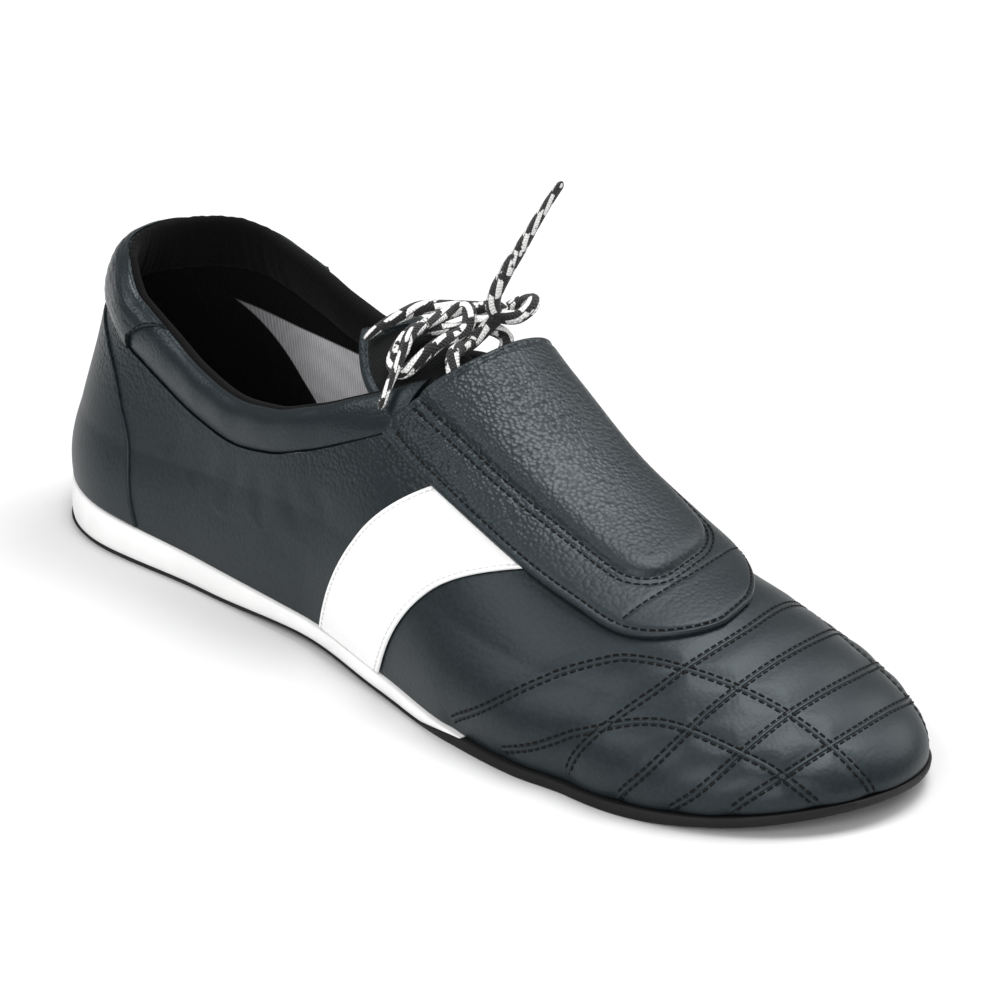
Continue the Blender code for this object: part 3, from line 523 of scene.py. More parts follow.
class ShoeColours(bpy.types.PropertyGroup):
    """Colours of the shoe's materials."""
    leather: colour_property("Leather", "Black leather", (0.0080, 0.0122, 0.0140))
    white: colour_property("White", "White leather and rubber", (0.92, 0.92, 0.915))
    rubber: colour_property("Rubber", "Black outsole rubber", (0.004, 0.004, 0.0045))
    lining: colour_property("Lining", "Pile lining", (0.0018, 0.0018, 0.0020))
    insole: colour_property("Insole", "Ribbed insole and lining", (0.66, 0.65, 0.67))
    tongue: colour_property("Tongue", "Tongue textile", (0.009, 0.0095, 0.010))
    thread: colour_property("Thread", "Black thread", (0.0010, 0.0014, 0.0017))
    eyelet: colour_property("Eyelet", "Enamel of the eyelets", (0.01, 0.01, 0.01))
    lace_dark: colour_property("Lace Dark", "Black lace yarn", (0.004, 0.004, 0.004))
    lace_light: colour_property("Lace Light", "White lace yarn", (0.93, 0.93, 0.92))


class ShoeStage(bpy.types.PropertyGroup):
    """Floor and light around the shoe."""
    floor: colour_property("Floor", "Colour of the floor", (0.71, 0.71, 0.71))
    key: power_property("Key", "Power of the soft light overhead", 30.0)
    fill: power_property("Fill", "Power of the soft light beside the camera", 26.0)
    side: power_property("Side", "Power of the soft light on the outer side", 8.5)
    rim: power_property("Rim", "Power of the soft light behind", 5.5)
    sky: bpy.props.FloatProperty(
        name="Sky", description="Strength of the even light all around", default=0.36)


def sizes():
    return bpy.context.scene.shoe_sizes


def colour(name, share=1.0):
    """One of the shoe's colours, darkened to a share of its light."""
    return tuple(part * share for part in getattr(bpy.context.scene.shoe_colours, name))


# Tables and the last's surface

def smooth(at, knots, values):
    """Monotone cubic through a table's rows, held flat past its ends."""
    knots = np.asarray(knots, float)
    values = np.asarray(values, float)
    steps = np.diff(knots)
    slopes = np.diff(values) / steps
    tangents = np.empty_like(values)
    tangents[0] = slopes[0]
    tangents[-1] = slopes[-1]
    before = 2 * steps[1:] + steps[:-1]
    after = steps[1:] + 2 * steps[:-1]
    rising = slopes[:-1] * slopes[1:] > 0
    left = np.where(rising, slopes[:-1], 1.0)
    right = np.where(rising, slopes[1:], 1.0)
    tangents[1:-1] = np.where(rising, (before + after) / (before / left + after / right), 0.0)
    place = np.clip(np.asarray(at, float), knots[0], knots[-1])
    index = np.clip(np.searchsorted(knots, place) - 1, 0, len(steps) - 1)
    share = (place - knots[index]) / steps[index]
    low = (2 * share**3 - 3 * share**2 + 1) * values[index]
    high = (3 * share**2 - 2 * share**3) * values[index + 1]
    leave = (share**3 - 2 * share**2 + share) * steps[index] * tangents[index]
    arrive = (share**3 - share**2) * steps[index] * tangents[index + 1]
    return low + high + leave + arrive


def look_up(table, name, at):
    """Value of a table's named column, smoothed over its first column; its first row has the names."""
    columns, *rows = table
    values = np.array(rows)
    return smooth(at, values[:, 0], values[:, columns.index(name)])


def ease(at, start, end):
    """Share that runs smoothly from 0 at the start to 1 at the end."""
    share = np.clip((np.asarray(at, float) - start) / (end - start), 0, 1)
    return share**2 * (3 - 2 * share)


def last(name, station):
    return look_up(LAST, name, station)


def half_width(side, station):
    return np.where(np.asarray(side) < 0, last("lateral", station), last("medial", station))


def spine(station):
    """Y of the shoe's centre line, which bends inward to the toe."""
    share = (np.asarray(station, float) - SPINE_BEND_START) / (TOE_TIP - SPINE_BEND_START)
    return TOE_TIP_ACROSS * np.clip(share, 0, 1) ** SPINE_BEND_POWER


def turn_at(station):
    """Turn of a station between the heel's and the toe's centres."""
    return 1 + (np.asarray(station, float) - HEEL_CENTRE) / (TOE_CENTRE - HEEL_CENTRE)


def rib(side, turn):
    """Plan of a rib's foot and spine: turn 0 to 1 fans the heel, 1 to 2 runs along, 2 to 3 fans the toe."""
    turn = np.asarray(turn, float)
    side = np.asarray(side, float)
    heel = np.clip(turn, 0, 1) * np.pi / 2
    heel_station = HEEL_CENTRE - (HEEL_CENTRE - HEEL_BACK) * np.abs(np.cos(heel)) ** (2 / HEEL_POWER)
    heel_across = side * half_width(side, HEEL_CENTRE) * np.sin(heel) ** (2 / HEEL_POWER)
    along = HEEL_CENTRE + (TOE_CENTRE - HEEL_CENTRE) * np.clip(turn - 1, 0, 1)
    along_across = spine(along) + side * half_width(side, along)
    toe = np.clip(turn - 2, 0, 1) * np.pi / 2
    pole = spine(TOE_CENTRE)
    toe_station = TOE_CENTRE + TOE_LENGTH * np.sin(toe)
    toe_across = pole + side * half_width(side, TOE_CENTRE) * np.cos(toe)
    toe_across = toe_across + (TOE_TIP_ACROSS - pole) * np.sin(toe) ** 2

    def by_part(in_heel, between, in_toe):
        return np.where(turn < 1, in_heel, np.where(turn > 2, in_toe, between))

    foot_station = by_part(heel_station, along, toe_station)
    foot_across = by_part(heel_across, along_across, toe_across)
    spine_station = by_part(HEEL_CENTRE, along, TOE_CENTRE)
    spine_across = by_part(0.0, spine(along), pole)
    return foot_station, foot_across, spine_station, spine_across


def surface(side, turn, angle):
    """Point of the last on a rib, at an angle from the feather edge (0) to the ridge (a right angle)."""
    foot_station, foot_across, spine_station, spine_across = rib(side, turn)
    side = np.asarray(side, float)
    angle = np.asarray(angle, float)
    reach = np.clip(np.cos(angle), 0, 1) ** (2 / last("side_power", foot_station))
    rise = np.sin(angle) ** (2 / last("top_power", foot_station))
    station = spine_station + (foot_station - spine_station) * reach
    across = spine_across + (foot_across - spine_across) * reach
    feather = last("feather", foot_station)
    height = feather + rise * (last("ridge", station) - feather)
    belly = np.clip((height - feather) / (2 * last("bulge_height", foot_station)), 0, 1)
    push = last("bulge", foot_station) * np.sin(np.pi * belly)
    around_back = np.cos(np.clip(turn, 0, 1) * np.pi / 2) ** 2
    lean = last("lean", foot_station) * np.where(side < 0, 1.0, around_back)
    push = push - lean * ease(height, LEAN_START, LEAN_FULL)
    length = np.hypot(foot_station - spine_station, foot_across - spine_across)
    station = station + push * (foot_station - spine_station) / length
    across = across + push * (foot_across - spine_across) / length
    return np.stack([station, across, height], -1)


def unit(vectors):
    return vectors / np.maximum(np.linalg.norm(vectors, axis=-1, keepdims=True), 1e-12)


def normal_at(side, turn, angle):
    """Outward normal of the last."""
    step = 0.002
    side = np.asarray(side, float)
    along = surface(side, turn + step, angle) - surface(side, turn - step, angle)
    low = np.clip(angle - step, 0, np.pi / 2)
    high = np.clip(angle + step, 0, np.pi / 2)
    up = surface(side, turn, high) - surface(side, turn, low)
    return unit(np.cross(along, up) * -side[..., None])


def lifted(side, turn, angle, lift):
    """Point of the last moved out along its normal."""
    return surface(side, turn, angle) + normal_at(side, turn, angle) * np.asarray(lift)[..., None]


def angle_at_height(side, turn, height):
    """Angle where a rib reaches a height."""
    low = np.zeros(np.broadcast(side, turn, height).shape)
    high = low + np.pi / 2
    for _ in range(HALVINGS):
        middle = (low + high) / 2
        below = surface(side, turn, middle)[..., 2] < height
        low = np.where(below, middle, low)
        high = np.where(below, high, middle)
    return low


def angle_at_across(side, turn, across):
    """Angle where a rib along the shoe comes within a distance of the spine."""
    foot_station, foot_across, _, spine_across = rib(side, turn)
    half = np.maximum(np.abs(foot_across - spine_across), 1e-9)
    share = np.clip(across / half, 0, 1)
    return np.arccos(share ** (last("side_power", foot_station) / 2))


def collar_height(name, side, station):
    """Height of the collar's seam or rim, which stands higher along the middle of the medial side."""
    rise = ease(station, HEEL_BACK, MEDIAL_RISE_FULL) - ease(station, MEDIAL_FALL_START, COLLAR_END)
    rise = np.where(np.asarray(side) > 0, MEDIAL_RISE, 0.0) * rise
    return look_up(COLLAR, name, station) + rise


def throat_half(station):
    """Half width of the throat, round at its front end."""
    into_end = np.clip((station - THROAT_END + THROAT_HALF) / THROAT_HALF, 0, 1)
    return THROAT_HALF * np.sqrt(1 - into_end**2)


def crown(station, across):
    """Height of the last over a plan point near its ridge; across is measured from the spine."""
    station = np.asarray(station, float)
    across = np.asarray(across, float)
    side = np.where(across < 0, LATERAL, MEDIAL)
    ahead = np.clip(station - TOE_CENTRE, 0, None)
    half = half_width(side, np.minimum(station, TOE_CENTRE))
    reach = np.hypot(np.abs(across) / half, ahead / TOE_LENGTH)
    share = np.where(ahead > 0, ahead / TOE_LENGTH / np.maximum(reach, 1e-9), 0.0)
    foot = np.where(ahead > 0, TOE_CENTRE + TOE_LENGTH * share, station)
    feather = last("feather", foot)
    rise = np.clip(1 - reach ** last("side_power", foot), 0, 1) ** (1 / last("top_power", foot))
    return feather + rise * (last("ridge", station) - feather)


def crown_normal(station, across):
    """Upward normal of the last over a plan point near its ridge."""
    step = 0.0005
    slope_along = (crown(station + step, across) - crown(station - step, across)) / (2 * step)
    slope_across = (crown(station, across + step) - crown(station, across - step)) / (2 * step)
    return unit(np.stack([-slope_along, -slope_across, np.ones_like(slope_along)], -1))


def over(station, across, lift):
    """Point over the ridge, lifted along the crown's normal."""
    station, across = np.broadcast_arrays(np.asarray(station, float), np.asarray(across, float))
    point = np.stack([station, spine(station) + across, crown(station, across)], -1)
    return point + crown_normal(station, across) * np.asarray(lift)[..., None]


def ring(turns):
    """Ribs once around the shoe: out along the lateral side, back along the medial side."""
    sides = [LATERAL] * len(turns) + [MEDIAL] * (len(turns) - 2)
    around = list(turns) + list(turns[-2:0:-1])
    return np.array(sides, float), np.array(around, float)


def toe_chart(ahead, down):
    """Side, turn and angle on the vamp, from shares ahead of the toe's centre and down from the ridge."""
    side = np.where(down < 0, LATERAL, MEDIAL).astype(float)
    forward = np.maximum(ahead, 0)
    fan = np.arctan2(forward, np.maximum(np.abs(down), 1e-6))
    behind = turn_at(TOE_CENTRE + TOE_LENGTH * np.minimum(ahead, 0))
    turn = np.where(ahead > 0, 2 + fan / (np.pi / 2), behind)
    angle = (1 - np.clip(np.hypot(forward, down), 0, 1)) * np.pi / 2
    return side, turn, angle


# Lines and meshes

def path_lengths(points):
    return np.concatenate([[0], np.cumsum(np.linalg.norm(np.diff(points, axis=0), axis=1))])


def at_marks(rows, lengths, marks):
    """Rows of numbers along a path, read at given lengths of it."""
    return np.stack([np.interp(marks, lengths, column) for column in rows.T], -1)


def even_line(points, count):
    """Points evenly spaced along a path."""
    lengths = path_lengths(points)
    return at_marks(points, lengths, np.linspace(0, lengths[-1], count))


def smooth_line(rows, step):
    """Points a step apart on a smooth curve through a line's own points."""
    route = np.array(rows, float)
    padded = np.concatenate([2 * route[:1] - route[1:2], route, 2 * route[-1:] - route[-2:-1]])
    curve = []
    for before, start, end, after in zip(padded, padded[1:], padded[2:], padded[3:]):
        for share in np.linspace(0, 1, CURVE_STEPS, endpoint=False):
            curve.append(0.5 * (2 * start + (end - before) * share
                                + (2 * before - 5 * start + 4 * end - after) * share**2
                                + (3 * start - 3 * end + after - before) * share**3))
    curve.append(route[-1])
    curve = np.array(curve)
    return even_line(curve, max(4, int(math.ceil(path_lengths(curve)[-1] / step)) + 1))


def tangents_of(points):
    return unit(np.gradient(points, axis=0))


def trough(distance, depth, width):
    """Depth of a soft trough at a distance from its middle."""
    return depth * np.exp(-((distance / width) ** 2))


def rounded(distance, radius):
    """Drop of a face near its edge, a quarter round."""
    inside = np.clip(1 - distance / radius, 0, 1)
    return radius * (1 - np.sqrt(np.clip(1 - inside**2, 0, 1)))


class Solid:
    """Points and faces of one piece, gathered before its mesh is made."""

    def __init__(self):
        self.points = []
        self.faces = []
        self.kinds = []
        self.size = 0

    def add_points(self, points):
        """Index of each new point, in the shape of their grid."""
        points = np.asarray(points, float)
        index = np.arange(self.size, self.size + points[..., 0].size).reshape(points.shape[:-1])
        self.points.append(points.reshape(-1, 3))
        self.size += index.size
        return index

    def add_faces(self, faces, kind=0):
        self.faces.extend(faces)
        self.kinds.extend([kind] * len(faces))

    def add_grid(self, points, kind=0, close_along=False, close_across=False):
        """Quads over a grid of points; kind may be a row or a grid of kinds, one for each face."""
        index = self.add_points(points)
        wrapped = np.concatenate([index, index[:1]]) if close_along else index
        wrapped = np.concatenate([wrapped, wrapped[:, :1]], axis=1) if close_across else wrapped
        quads = np.stack([wrapped[:-1, :-1], wrapped[1:, :-1], wrapped[1:, 1:], wrapped[:-1, 1:]], -1)
        self.faces.extend(quads.reshape(-1, 4).tolist())
        kinds = np.broadcast_to(np.asarray(kind), quads.shape[:2])
        self.kinds.extend(kinds.reshape(-1).tolist())
        return index

    def add_tube(self, points, kind=0):
        """Grid closed across, with a face over each end."""
        index = self.add_grid(points, kind, close_across=True)
        self.add_faces([index[0].tolist(), index[-1][::-1].tolist()])

    def join(self, first, second, kind=0, close=False):
        """Strip of quads between two rows of points."""
        if close:
            first = np.append(first, first[0])
            second = np.append(second, second[0])
        quads = np.stack([first[:-1], first[1:], second[1:], second[:-1]], -1)
        self.add_faces(quads.tolist(), kind)

    def add_shell(self, outer, inner, kinds=(0, 0, 0)):
        """Closed wall between an outer and an inner grid; kinds are those of outside, inside and edge."""
        outside = self.add_grid(outer, kinds[0])
        inside = self.add_grid(inner, kinds[1])
        for line in (np.s_[0, :], np.s_[-1, :], np.s_[:, 0], np.s_[:, -1]):
            self.join(outside[line], inside[line], kinds[2])

    def make(self, name, materials, slot, replaced=()):
        """Piece of the gathered faces."""
        data = bpy.data.meshes.new(name)
        points = np.concatenate(self.points) + FRAME_SHIFT
        data.from_pydata(points.tolist(), [], self.faces)
        data.polygons.foreach_set("material_index", self.kinds)
        for finish in materials:
            data.materials.append(finish)
        built = bmesh.new()
        built.from_mesh(data)
        bmesh.ops.remove_doubles(built, verts=built.verts, dist=WELD)
        bmesh.ops.recalc_face_normals(built, faces=built.faces)
        built.to_mesh(data)
        built.free()
        data.shade_smooth()
        data.set_sharp_from_angle(angle=math.radians(SHARP_ANGLE))
        return add_piece(name, data, replaced)


def add_object(name, data):
    made = bpy.data.objects.new(name, data)
    bpy.context.scene.collection.objects.link(made)
    return made


def add_piece(name, data, replaced=()):
    """Object that rides on the shoe and hides the solids it stands for."""
    piece = add_object(name, data)
    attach(piece, "root")
    if replaced:
        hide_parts(*replaced)
    return piece


class Relief:
    """Soft troughs along lines, as a push for any point near them."""

    def __init__(self):
        self.points = []
        self.depths = []
        self.widths = []

    def add(self, line, depth, width, taper=False):
        share = np.linspace(-1, 1, len(line))
        fade = (1 - share**2) if taper else np.ones(len(line))
        self.points.extend(line)
        self.depths.extend(depth * fade)
        self.widths.extend([width] * len(line))

    def push(self, points):
        """Push of each point along its normal, negative as it sinks."""
        tree = KDTree(len(self.points))
        for number, point in enumerate(self.points):
            tree.insert(point, number)
        tree.balance()
        flat = points.reshape(-1, 3)
        found = [tree.find(point) for point in flat]
        number = np.array([hit[1] for hit in found])
        distance = np.array([hit[2] for hit in found])
        depth = np.array(self.depths)[number]
        width = np.array(self.widths)[number]
        return -trough(distance, depth, width).reshape(points.shape[:-1])


def add_stitches(solid, points, normals, offset=0.0, scale=1.0):
    """Row of thread stitches beside a line on the surface."""
    size = sizes()
    pitch = size.stitch_pitch * scale
    half = size.stitch_length * scale / 2
    radius = size.thread * scale / 2
    tangents = tangents_of(points)
    points = points + np.cross(normals, tangents) * offset
    lengths = path_lengths(points)
    marks = np.arange(pitch / 2, lengths[-1] - pitch / 3, pitch)
    places = at_marks(points, lengths, marks)
    tangent = unit(at_marks(tangents, lengths, marks))
    normal = unit(at_marks(normals, lengths, marks))
    across = np.cross(normal, tangent)
    turn = np.arange(STITCH_SIDES) * 2 * np.pi / STITCH_SIDES
    rows = np.array(STITCH_RINGS)
    along = rows[:, 0] * half
    around = radius * rows[:, 1][:, None] * np.cos(turn)
    height = radius * (rows[:, 2][:, None] + rows[:, 1][:, None] * np.sin(turn))
    block = (places[:, None, None, :] + tangent[:, None, None, :] * along[None, :, None, None]
             + across[:, None, None, :] * around[None, :, :, None]
             + normal[:, None, None, :] * height[None, :, :, None])
    for stitch in block:
        solid.add_tube(stitch)


def add_ridge(solid, points, normals, half, height):
    """Low rounded ridge along a line on the surface."""
    across = np.cross(normals, tangents_of(points))
    section = np.array(RIDGE_SECTION)
    block = (points[:, None, :] + across[:, None, :] * (section[:, 0] * half)[None, :, None]
             + normals[:, None, :] * (section[:, 1] * height)[None, :, None])
    solid.add_tube(block)


# Sole's plan and heights

def sole_height(name, station):
    """Heights of the outsole's faces, behind and ahead of the midsole's front edge."""
    behind = look_up(SOLE, name, station)
    if name == "outsole_top":
        behind = behind - RAND_OVER
    if name == "bottom":
        ahead = look_up(SPRING, "bottom", station)
    else:
        ahead = last("feather", station) - GAP
    step = np.clip((station - MIDSOLE_END + RAND_TAPER) / (RAND_TAPER + MIDSOLE_STEP), 0, 1)
    return behind + (ahead - behind) * step


def sole_plan(turn, share, grow):
    """Plan point of the sole: share runs from the lateral edge (-1) to the medial edge (1)."""
    edges = []
    for side in (LATERAL, MEDIAL):
        foot_station, foot_across, spine_station, spine_across = rib(side, turn)
        length = np.hypot(foot_station - spine_station, foot_across - spine_across)
        station = foot_station + grow * (foot_station - spine_station) / length
        across = foot_across + grow * (foot_across - spine_across) / length
        edges.append(np.stack([station, across], -1))
    weight = ((share + 1) / 2)[..., None]
    return edges[0] * (1 - weight) + edges[1] * weight


def sole_turns(end=None, extra=()):
    heel = np.linspace(0, 1, SOLE_HEEL_STEPS + 1)[:-1]
    if end is not None:
        return np.concatenate([heel, turn_at(np.linspace(HEEL_CENTRE, end, SOLE_MIDDLE_STEPS))])
    middle = np.linspace(1, 2, SOLE_MIDDLE_STEPS + 1)[:-1]
    toe = np.linspace(2, 3, SOLE_TOE_STEPS + 1)
    return np.sort(np.concatenate([heel, middle, toe, turn_at(np.array(extra))]))


def arch(station, share):
    rise = look_up(MEDIAL_ARCH, "rise", station)
    return rise * np.clip(share, 0, 1)


def frame_shift():
    """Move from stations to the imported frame, whose origin lies under the middle of the outsole."""
    turns = sole_turns()[:, None]
    plan = sole_plan(turns, np.array([[-1.0, 1.0]]), OUTSOLE_EDGE).reshape(-1, 2)
    middle = (plan.min(axis=0) + plan.max(axis=0)) / 2
    return np.array([-middle[0], -middle[1], 0.0])


FRAME_SHIFT = frame_shift()


def sole_layer(solid, turns, layers, toe_inset=0.0, shares=SOLE_SHARES):
    """Rows lofted along the sole; each layer has how far it stands out and a function for its height."""
    spread = np.linspace(-1, 1, shares)
    loop = [(share, layers[0]) for share in spread]
    loop += [(1.0, layer) for layer in layers[1:-1]]
    loop += [(share, layers[-1]) for share in spread[::-1]]
    loop += [(-1.0, layer) for layer in layers[-2:0:-1]]
    foot = rib(LATERAL, turns)[0]
    columns = []
    for share, (grow, height) in loop:
        place = sole_plan(turns, np.full(len(turns), share), grow - toe_inset * np.clip(turns - 2, 0, 1))
        station, across = place.T
        columns.append(np.stack([station, across, height(foot, station, across, share)], -1))
    return solid.add_grid(np.stack(columns, 1), close_across=True)


# Material nodes

def made_once(kind):
    """Decorator: an entry of Blender's data is made on first use and found by its name after that."""
    def wrap(make):
        def find(name):
            return getattr(bpy.data, kind).get(name) or make(name)
        return find
    return wrap


def wire(tree, node, inputs):
    """Fill a node's inputs: a socket is linked, and any other value is written."""
    for name, value in inputs.items():
        if isinstance(value, bpy.types.NodeSocket):
            tree.links.new(value, node.inputs[name])
        else:
            node.inputs[name].default_value = value


def add_node(tree, kind, inputs=None, **settings):
    """Node with its settings and its inputs."""
    made = tree.nodes.new(kind)
    for name, value in settings.items():
        setattr(made, name, value)
    wire(tree, made, inputs or {})
    return made


def calculate(tree, operation, first, second=0.0, third=0.0):
    made = add_node(tree, "ShaderNodeMath", {0: first, 1: second, 2: third}, operation=operation)
    return made.outputs[0]


def wave(tree, turns, count=1.0):
    """Sine of a number of turns, a count of times."""
    return calculate(tree, "SINE", calculate(tree, "MULTIPLY", turns, 2 * math.pi * count))


def remap(tree, value, low, high, to_low=0.0, to_high=1.0):
    """Value eased from one range to another."""
    made = add_node(tree, "ShaderNodeMapRange", {
        "Value": value, "From Min": low, "From Max": high, "To Min": to_low, "To Max": to_high,
    }, interpolation_type="SMOOTHSTEP")
    return made.outputs["Result"]


def noise(tree, position, scale, detail, output="Fac"):
    made = add_node(tree, "ShaderNodeTexNoise", {"Vector": position, "Scale": scale, "Detail": detail})
    return made.outputs[output]


def axes(tree, vector):
    """Sockets X, Y and Z of a vector."""
    return add_node(tree, "ShaderNodeSeparateXYZ", {"Vector": vector}).outputs


def bump(tree, height, distance):
    """Normal of a surface with a relief."""
    made = add_node(tree, "ShaderNodeBump", {"Height": height, "Distance": distance, "Strength": 1.0})
    return made.outputs["Normal"]


def two_tone(tree, share, first, second):
    """Colour between two, each a colour or a socket, by a share that varies over the surface."""
    mixed = add_node(tree, "ShaderNodeMix", {"Factor": share}, data_type="RGBA")
    for label, tone in (("A", first), ("B", second)):
        socket = next(each for each in mixed.inputs if each.name == label and each.type == "RGBA")
        if isinstance(tone, bpy.types.NodeSocket):
            tree.links.new(tone, socket)
        else:
            socket.default_value = (*tone, 1.0)
    return next(socket for socket in mixed.outputs if socket.type == "RGBA")


# Node groups

def new_group(name, inputs, outputs):
    """Empty shader group with named sockets; inputs are rows of label, kind and default."""
    tree = bpy.data.node_groups.new(name, "ShaderNodeTree")
    for label, kind, default in inputs:
        socket = tree.interface.new_socket(label, in_out="INPUT", socket_type=kind)
        if default is not None:
            socket.default_value = default
    for label in outputs:
        tree.interface.new_socket(label, in_out="OUTPUT", socket_type="NodeSocketFloat")
    return tree, tree.nodes.new("NodeGroupInput").outputs, tree.nodes.new("NodeGroupOutput")


def place_group(tree, group, inputs):
    """Outputs of a group placed in a material with its own values."""
    return add_node(tree, "ShaderNodeGroup", inputs, node_tree=group).outputs


@made_once("node_groups")
def grain_group(name):
    """Leather grain: pebbles with creased valleys, broken up by broad and fine noise."""
    tree, given, result = new_group(name, (
        ("Position", "NodeSocketVector", None),
        ("Pebble", "NodeSocketFloat", 0.0012),
        ("Patchiness", "NodeSocketFloat", 0.5),
    ), ("Height", "Tone"))
    position = given["Position"]
    shifted = add_node(tree, "ShaderNodeVectorMath", {
        0: noise(tree, position, GRAIN_WARP_SCALE, 2.0, "Color"), 1: (GRAIN_WARP,) * 3, 2: position,
    }, operation="MULTIPLY_ADD")
    cells = add_node(tree, "ShaderNodeTexVoronoi", {
        "Vector": shifted.outputs[0], "Scale": calculate(tree, "DIVIDE", 1.0, given["Pebble"]),
        "Randomness": 0.85, "Smoothness": 0.25,
    }, feature="SMOOTH_F1").outputs["Distance"]
    dome = calculate(tree, "MULTIPLY_ADD", calculate(tree, "MULTIPLY", cells, cells), -2.0, 1.0)
    fine = noise(tree, position, GRAIN_PORE_SCALE, 3.0)
    patches = remap(tree, noise(tree, position, GRAIN_PATCH_SCALE, 2.0), *GRAIN_PATCH)
    lowest = calculate(tree, "SUBTRACT", 1.0, given["Patchiness"])
    strength = calculate(tree, "MULTIPLY_ADD", patches, given["Patchiness"], lowest)
    pebbles = calculate(tree, "MULTIPLY", dome, strength)
    wire(tree, result, {
        "Height": calculate(tree, "MULTIPLY_ADD", fine, GRAIN_PORE, pebbles),
        "Tone": calculate(tree, "MULTIPLY", dome, fine),
    })
    return tree


@made_once("node_groups")
def rib_group(name):
    """Ribbed textile: rows of loops along one direction, with a fuzzy break-up."""
    tree, given, result = new_group(name, (
        ("Position", "NodeSocketVector", None),
        ("Pitch", "NodeSocketFloat", 0.0012),
        ("Ribbing", "NodeSocketFloat", 1.0),
    ), ("Height", "Tone"))
    place = axes(tree, given["Position"])
    fuzz = noise(tree, given["Position"], RIB_FUZZ_SCALE, 3.0)
    wobble = calculate(tree, "MULTIPLY_ADD", fuzz, RIB_WOBBLE, place["X"])
    ribs = wave(tree, calculate(tree, "DIVIDE", wobble, given["Pitch"]))
    loops = wave(tree, calculate(tree, "DIVIDE", place["Y"], given["Pitch"]), RIB_LOOPS)
    knitted = calculate(tree, "MULTIPLY_ADD", loops, RIB_LOOP_SHARE, ribs)
    woven = calculate(tree, "MULTIPLY", knitted, given["Ribbing"])
    height = calculate(tree, "MULTIPLY_ADD", fuzz, RIB_FUZZ, woven)
    wire(tree, result, {"Height": height, "Tone": remap(tree, height, *RIB_TONE)})
    return tree


@made_once("node_groups")
def fleck_group(name):
    """Braided cord: crossing yarns, with light yarns that show as dashes along it."""
    tree, given, result = new_group(name, (
        ("Around And Along", "NodeSocketVector", None),
        ("Position", "NodeSocketVector", None),
        ("Twist", "NodeSocketFloat", 0.09),
        ("Yarns", "NodeSocketFloat", 6.0),
        ("Dash Spacing", "NodeSocketFloat", 3.0),
    ), ("Height", "Fleck"))
    uneven = noise(tree, given["Position"], DASH_LOOSE_SCALE, 2.0)
    loose = calculate(tree, "MULTIPLY_ADD", uneven, DASH_LOOSE, -DASH_LOOSE / 2)
    place = axes(tree, given["Around And Along"])
    around = place["X"]
    along = place["Y"]
    turned = calculate(tree, "MULTIPLY_ADD", along, given["Twist"], around)
    column = calculate(tree, "MULTIPLY", turned, given["Yarns"])
    number = calculate(tree, "FLOOR", column)
    steps = calculate(tree, "DIVIDE", along, given["Dash Spacing"])
    row = calculate(tree, "MULTIPLY_ADD", number, DASH_SHIFT, steps)
    beside, lengthwise = (
        calculate(tree, "ABSOLUTE", calculate(tree, "SUBTRACT", calculate(tree, "FRACT", value), 0.5))
        for value in (column, row))
    lengthwise = calculate(tree, "ADD", lengthwise, loose)
    dash = calculate(tree, "MULTIPLY", remap(tree, lengthwise, *DASH_END, 1.0, 0.0),
                     remap(tree, beside, *DASH_SIDE, 1.0, 0.0))
    crossing = [
        calculate(tree, "ABSOLUTE", wave(
            tree, calculate(tree, "MULTIPLY_ADD", along, lead, around), BRAID_YARNS))
        for lead in (BRAID_LEAD, -BRAID_LEAD)]
    woven = calculate(tree, "MULTIPLY", *crossing)
    height = calculate(tree, "MULTIPLY_ADD", dash, DASH_RISE, woven)
    wire(tree, result, {"Height": height, "Fleck": dash})
    return tree


# Materials

def new_material(name):
    """Material, its node tree, its shader and the object's own coordinates."""
    made = bpy.data.materials.new(name)
    made.use_nodes = True
    tree = made.node_tree
    return made, tree, tree.nodes["Principled BSDF"], add_node(tree, "ShaderNodeTexCoord").outputs["Object"]


@made_once("materials")
def leather(name):
    """Grained leather: darker and duller in the valleys of its grain."""
    base, pebble, depth, (glossy, dull), patchiness, (dark, light), coat = LEATHERS[name]
    made, tree, shader, position = new_material(name)
    grain = place_group(tree, grain_group("Leather Grain"), {
        "Position": position, "Pebble": pebble, "Patchiness": patchiness,
    })
    coarse = remap(tree, axes(tree, position)["Z"], GRAIN_FINE_BELOW, GRAIN_COARSE_ABOVE,
                   GRAIN_FINE, GRAIN_COARSE)
    gloss = calculate(tree, "MULTIPLY", grain["Tone"], coarse)
    tone = remap(tree, grain["Tone"], *GRAIN_TONE)
    wire(tree, shader, {
        "Normal": bump(tree, calculate(tree, "MULTIPLY", grain["Height"], coarse), depth),
        "Roughness": remap(tree, gloss, *GRAIN_GLOSS, dull, glossy),
        "Base Color": two_tone(tree, tone, colour(base, dark), colour(base, light)),
        "Specular IOR Level": 0.37,
        "Specular Tint": LEATHER_TINT,
        "Coat Weight": coat,
        "Coat Roughness": 0.35,
    })
    return made


@made_once("materials")
def textile(name):
    """Ribbed or piled textile."""
    base, pitch, ribbing, depth, sheen = TEXTILES[name]
    made, tree, shader, position = new_material(name)
    weave = place_group(tree, rib_group("Textile Rib"), {
        "Position": position, "Pitch": pitch, "Ribbing": ribbing,
    })
    wire(tree, shader, {
        "Normal": bump(tree, weave["Height"], depth),
        "Base Color": two_tone(tree, weave["Tone"], colour(base, TEXTILE_SHADE), colour(base)),
        "Roughness": 0.95,
        "Specular IOR Level": 0.15,
        "Sheen Weight": sheen,
        "Sheen Roughness": 0.5,
    })
    return made


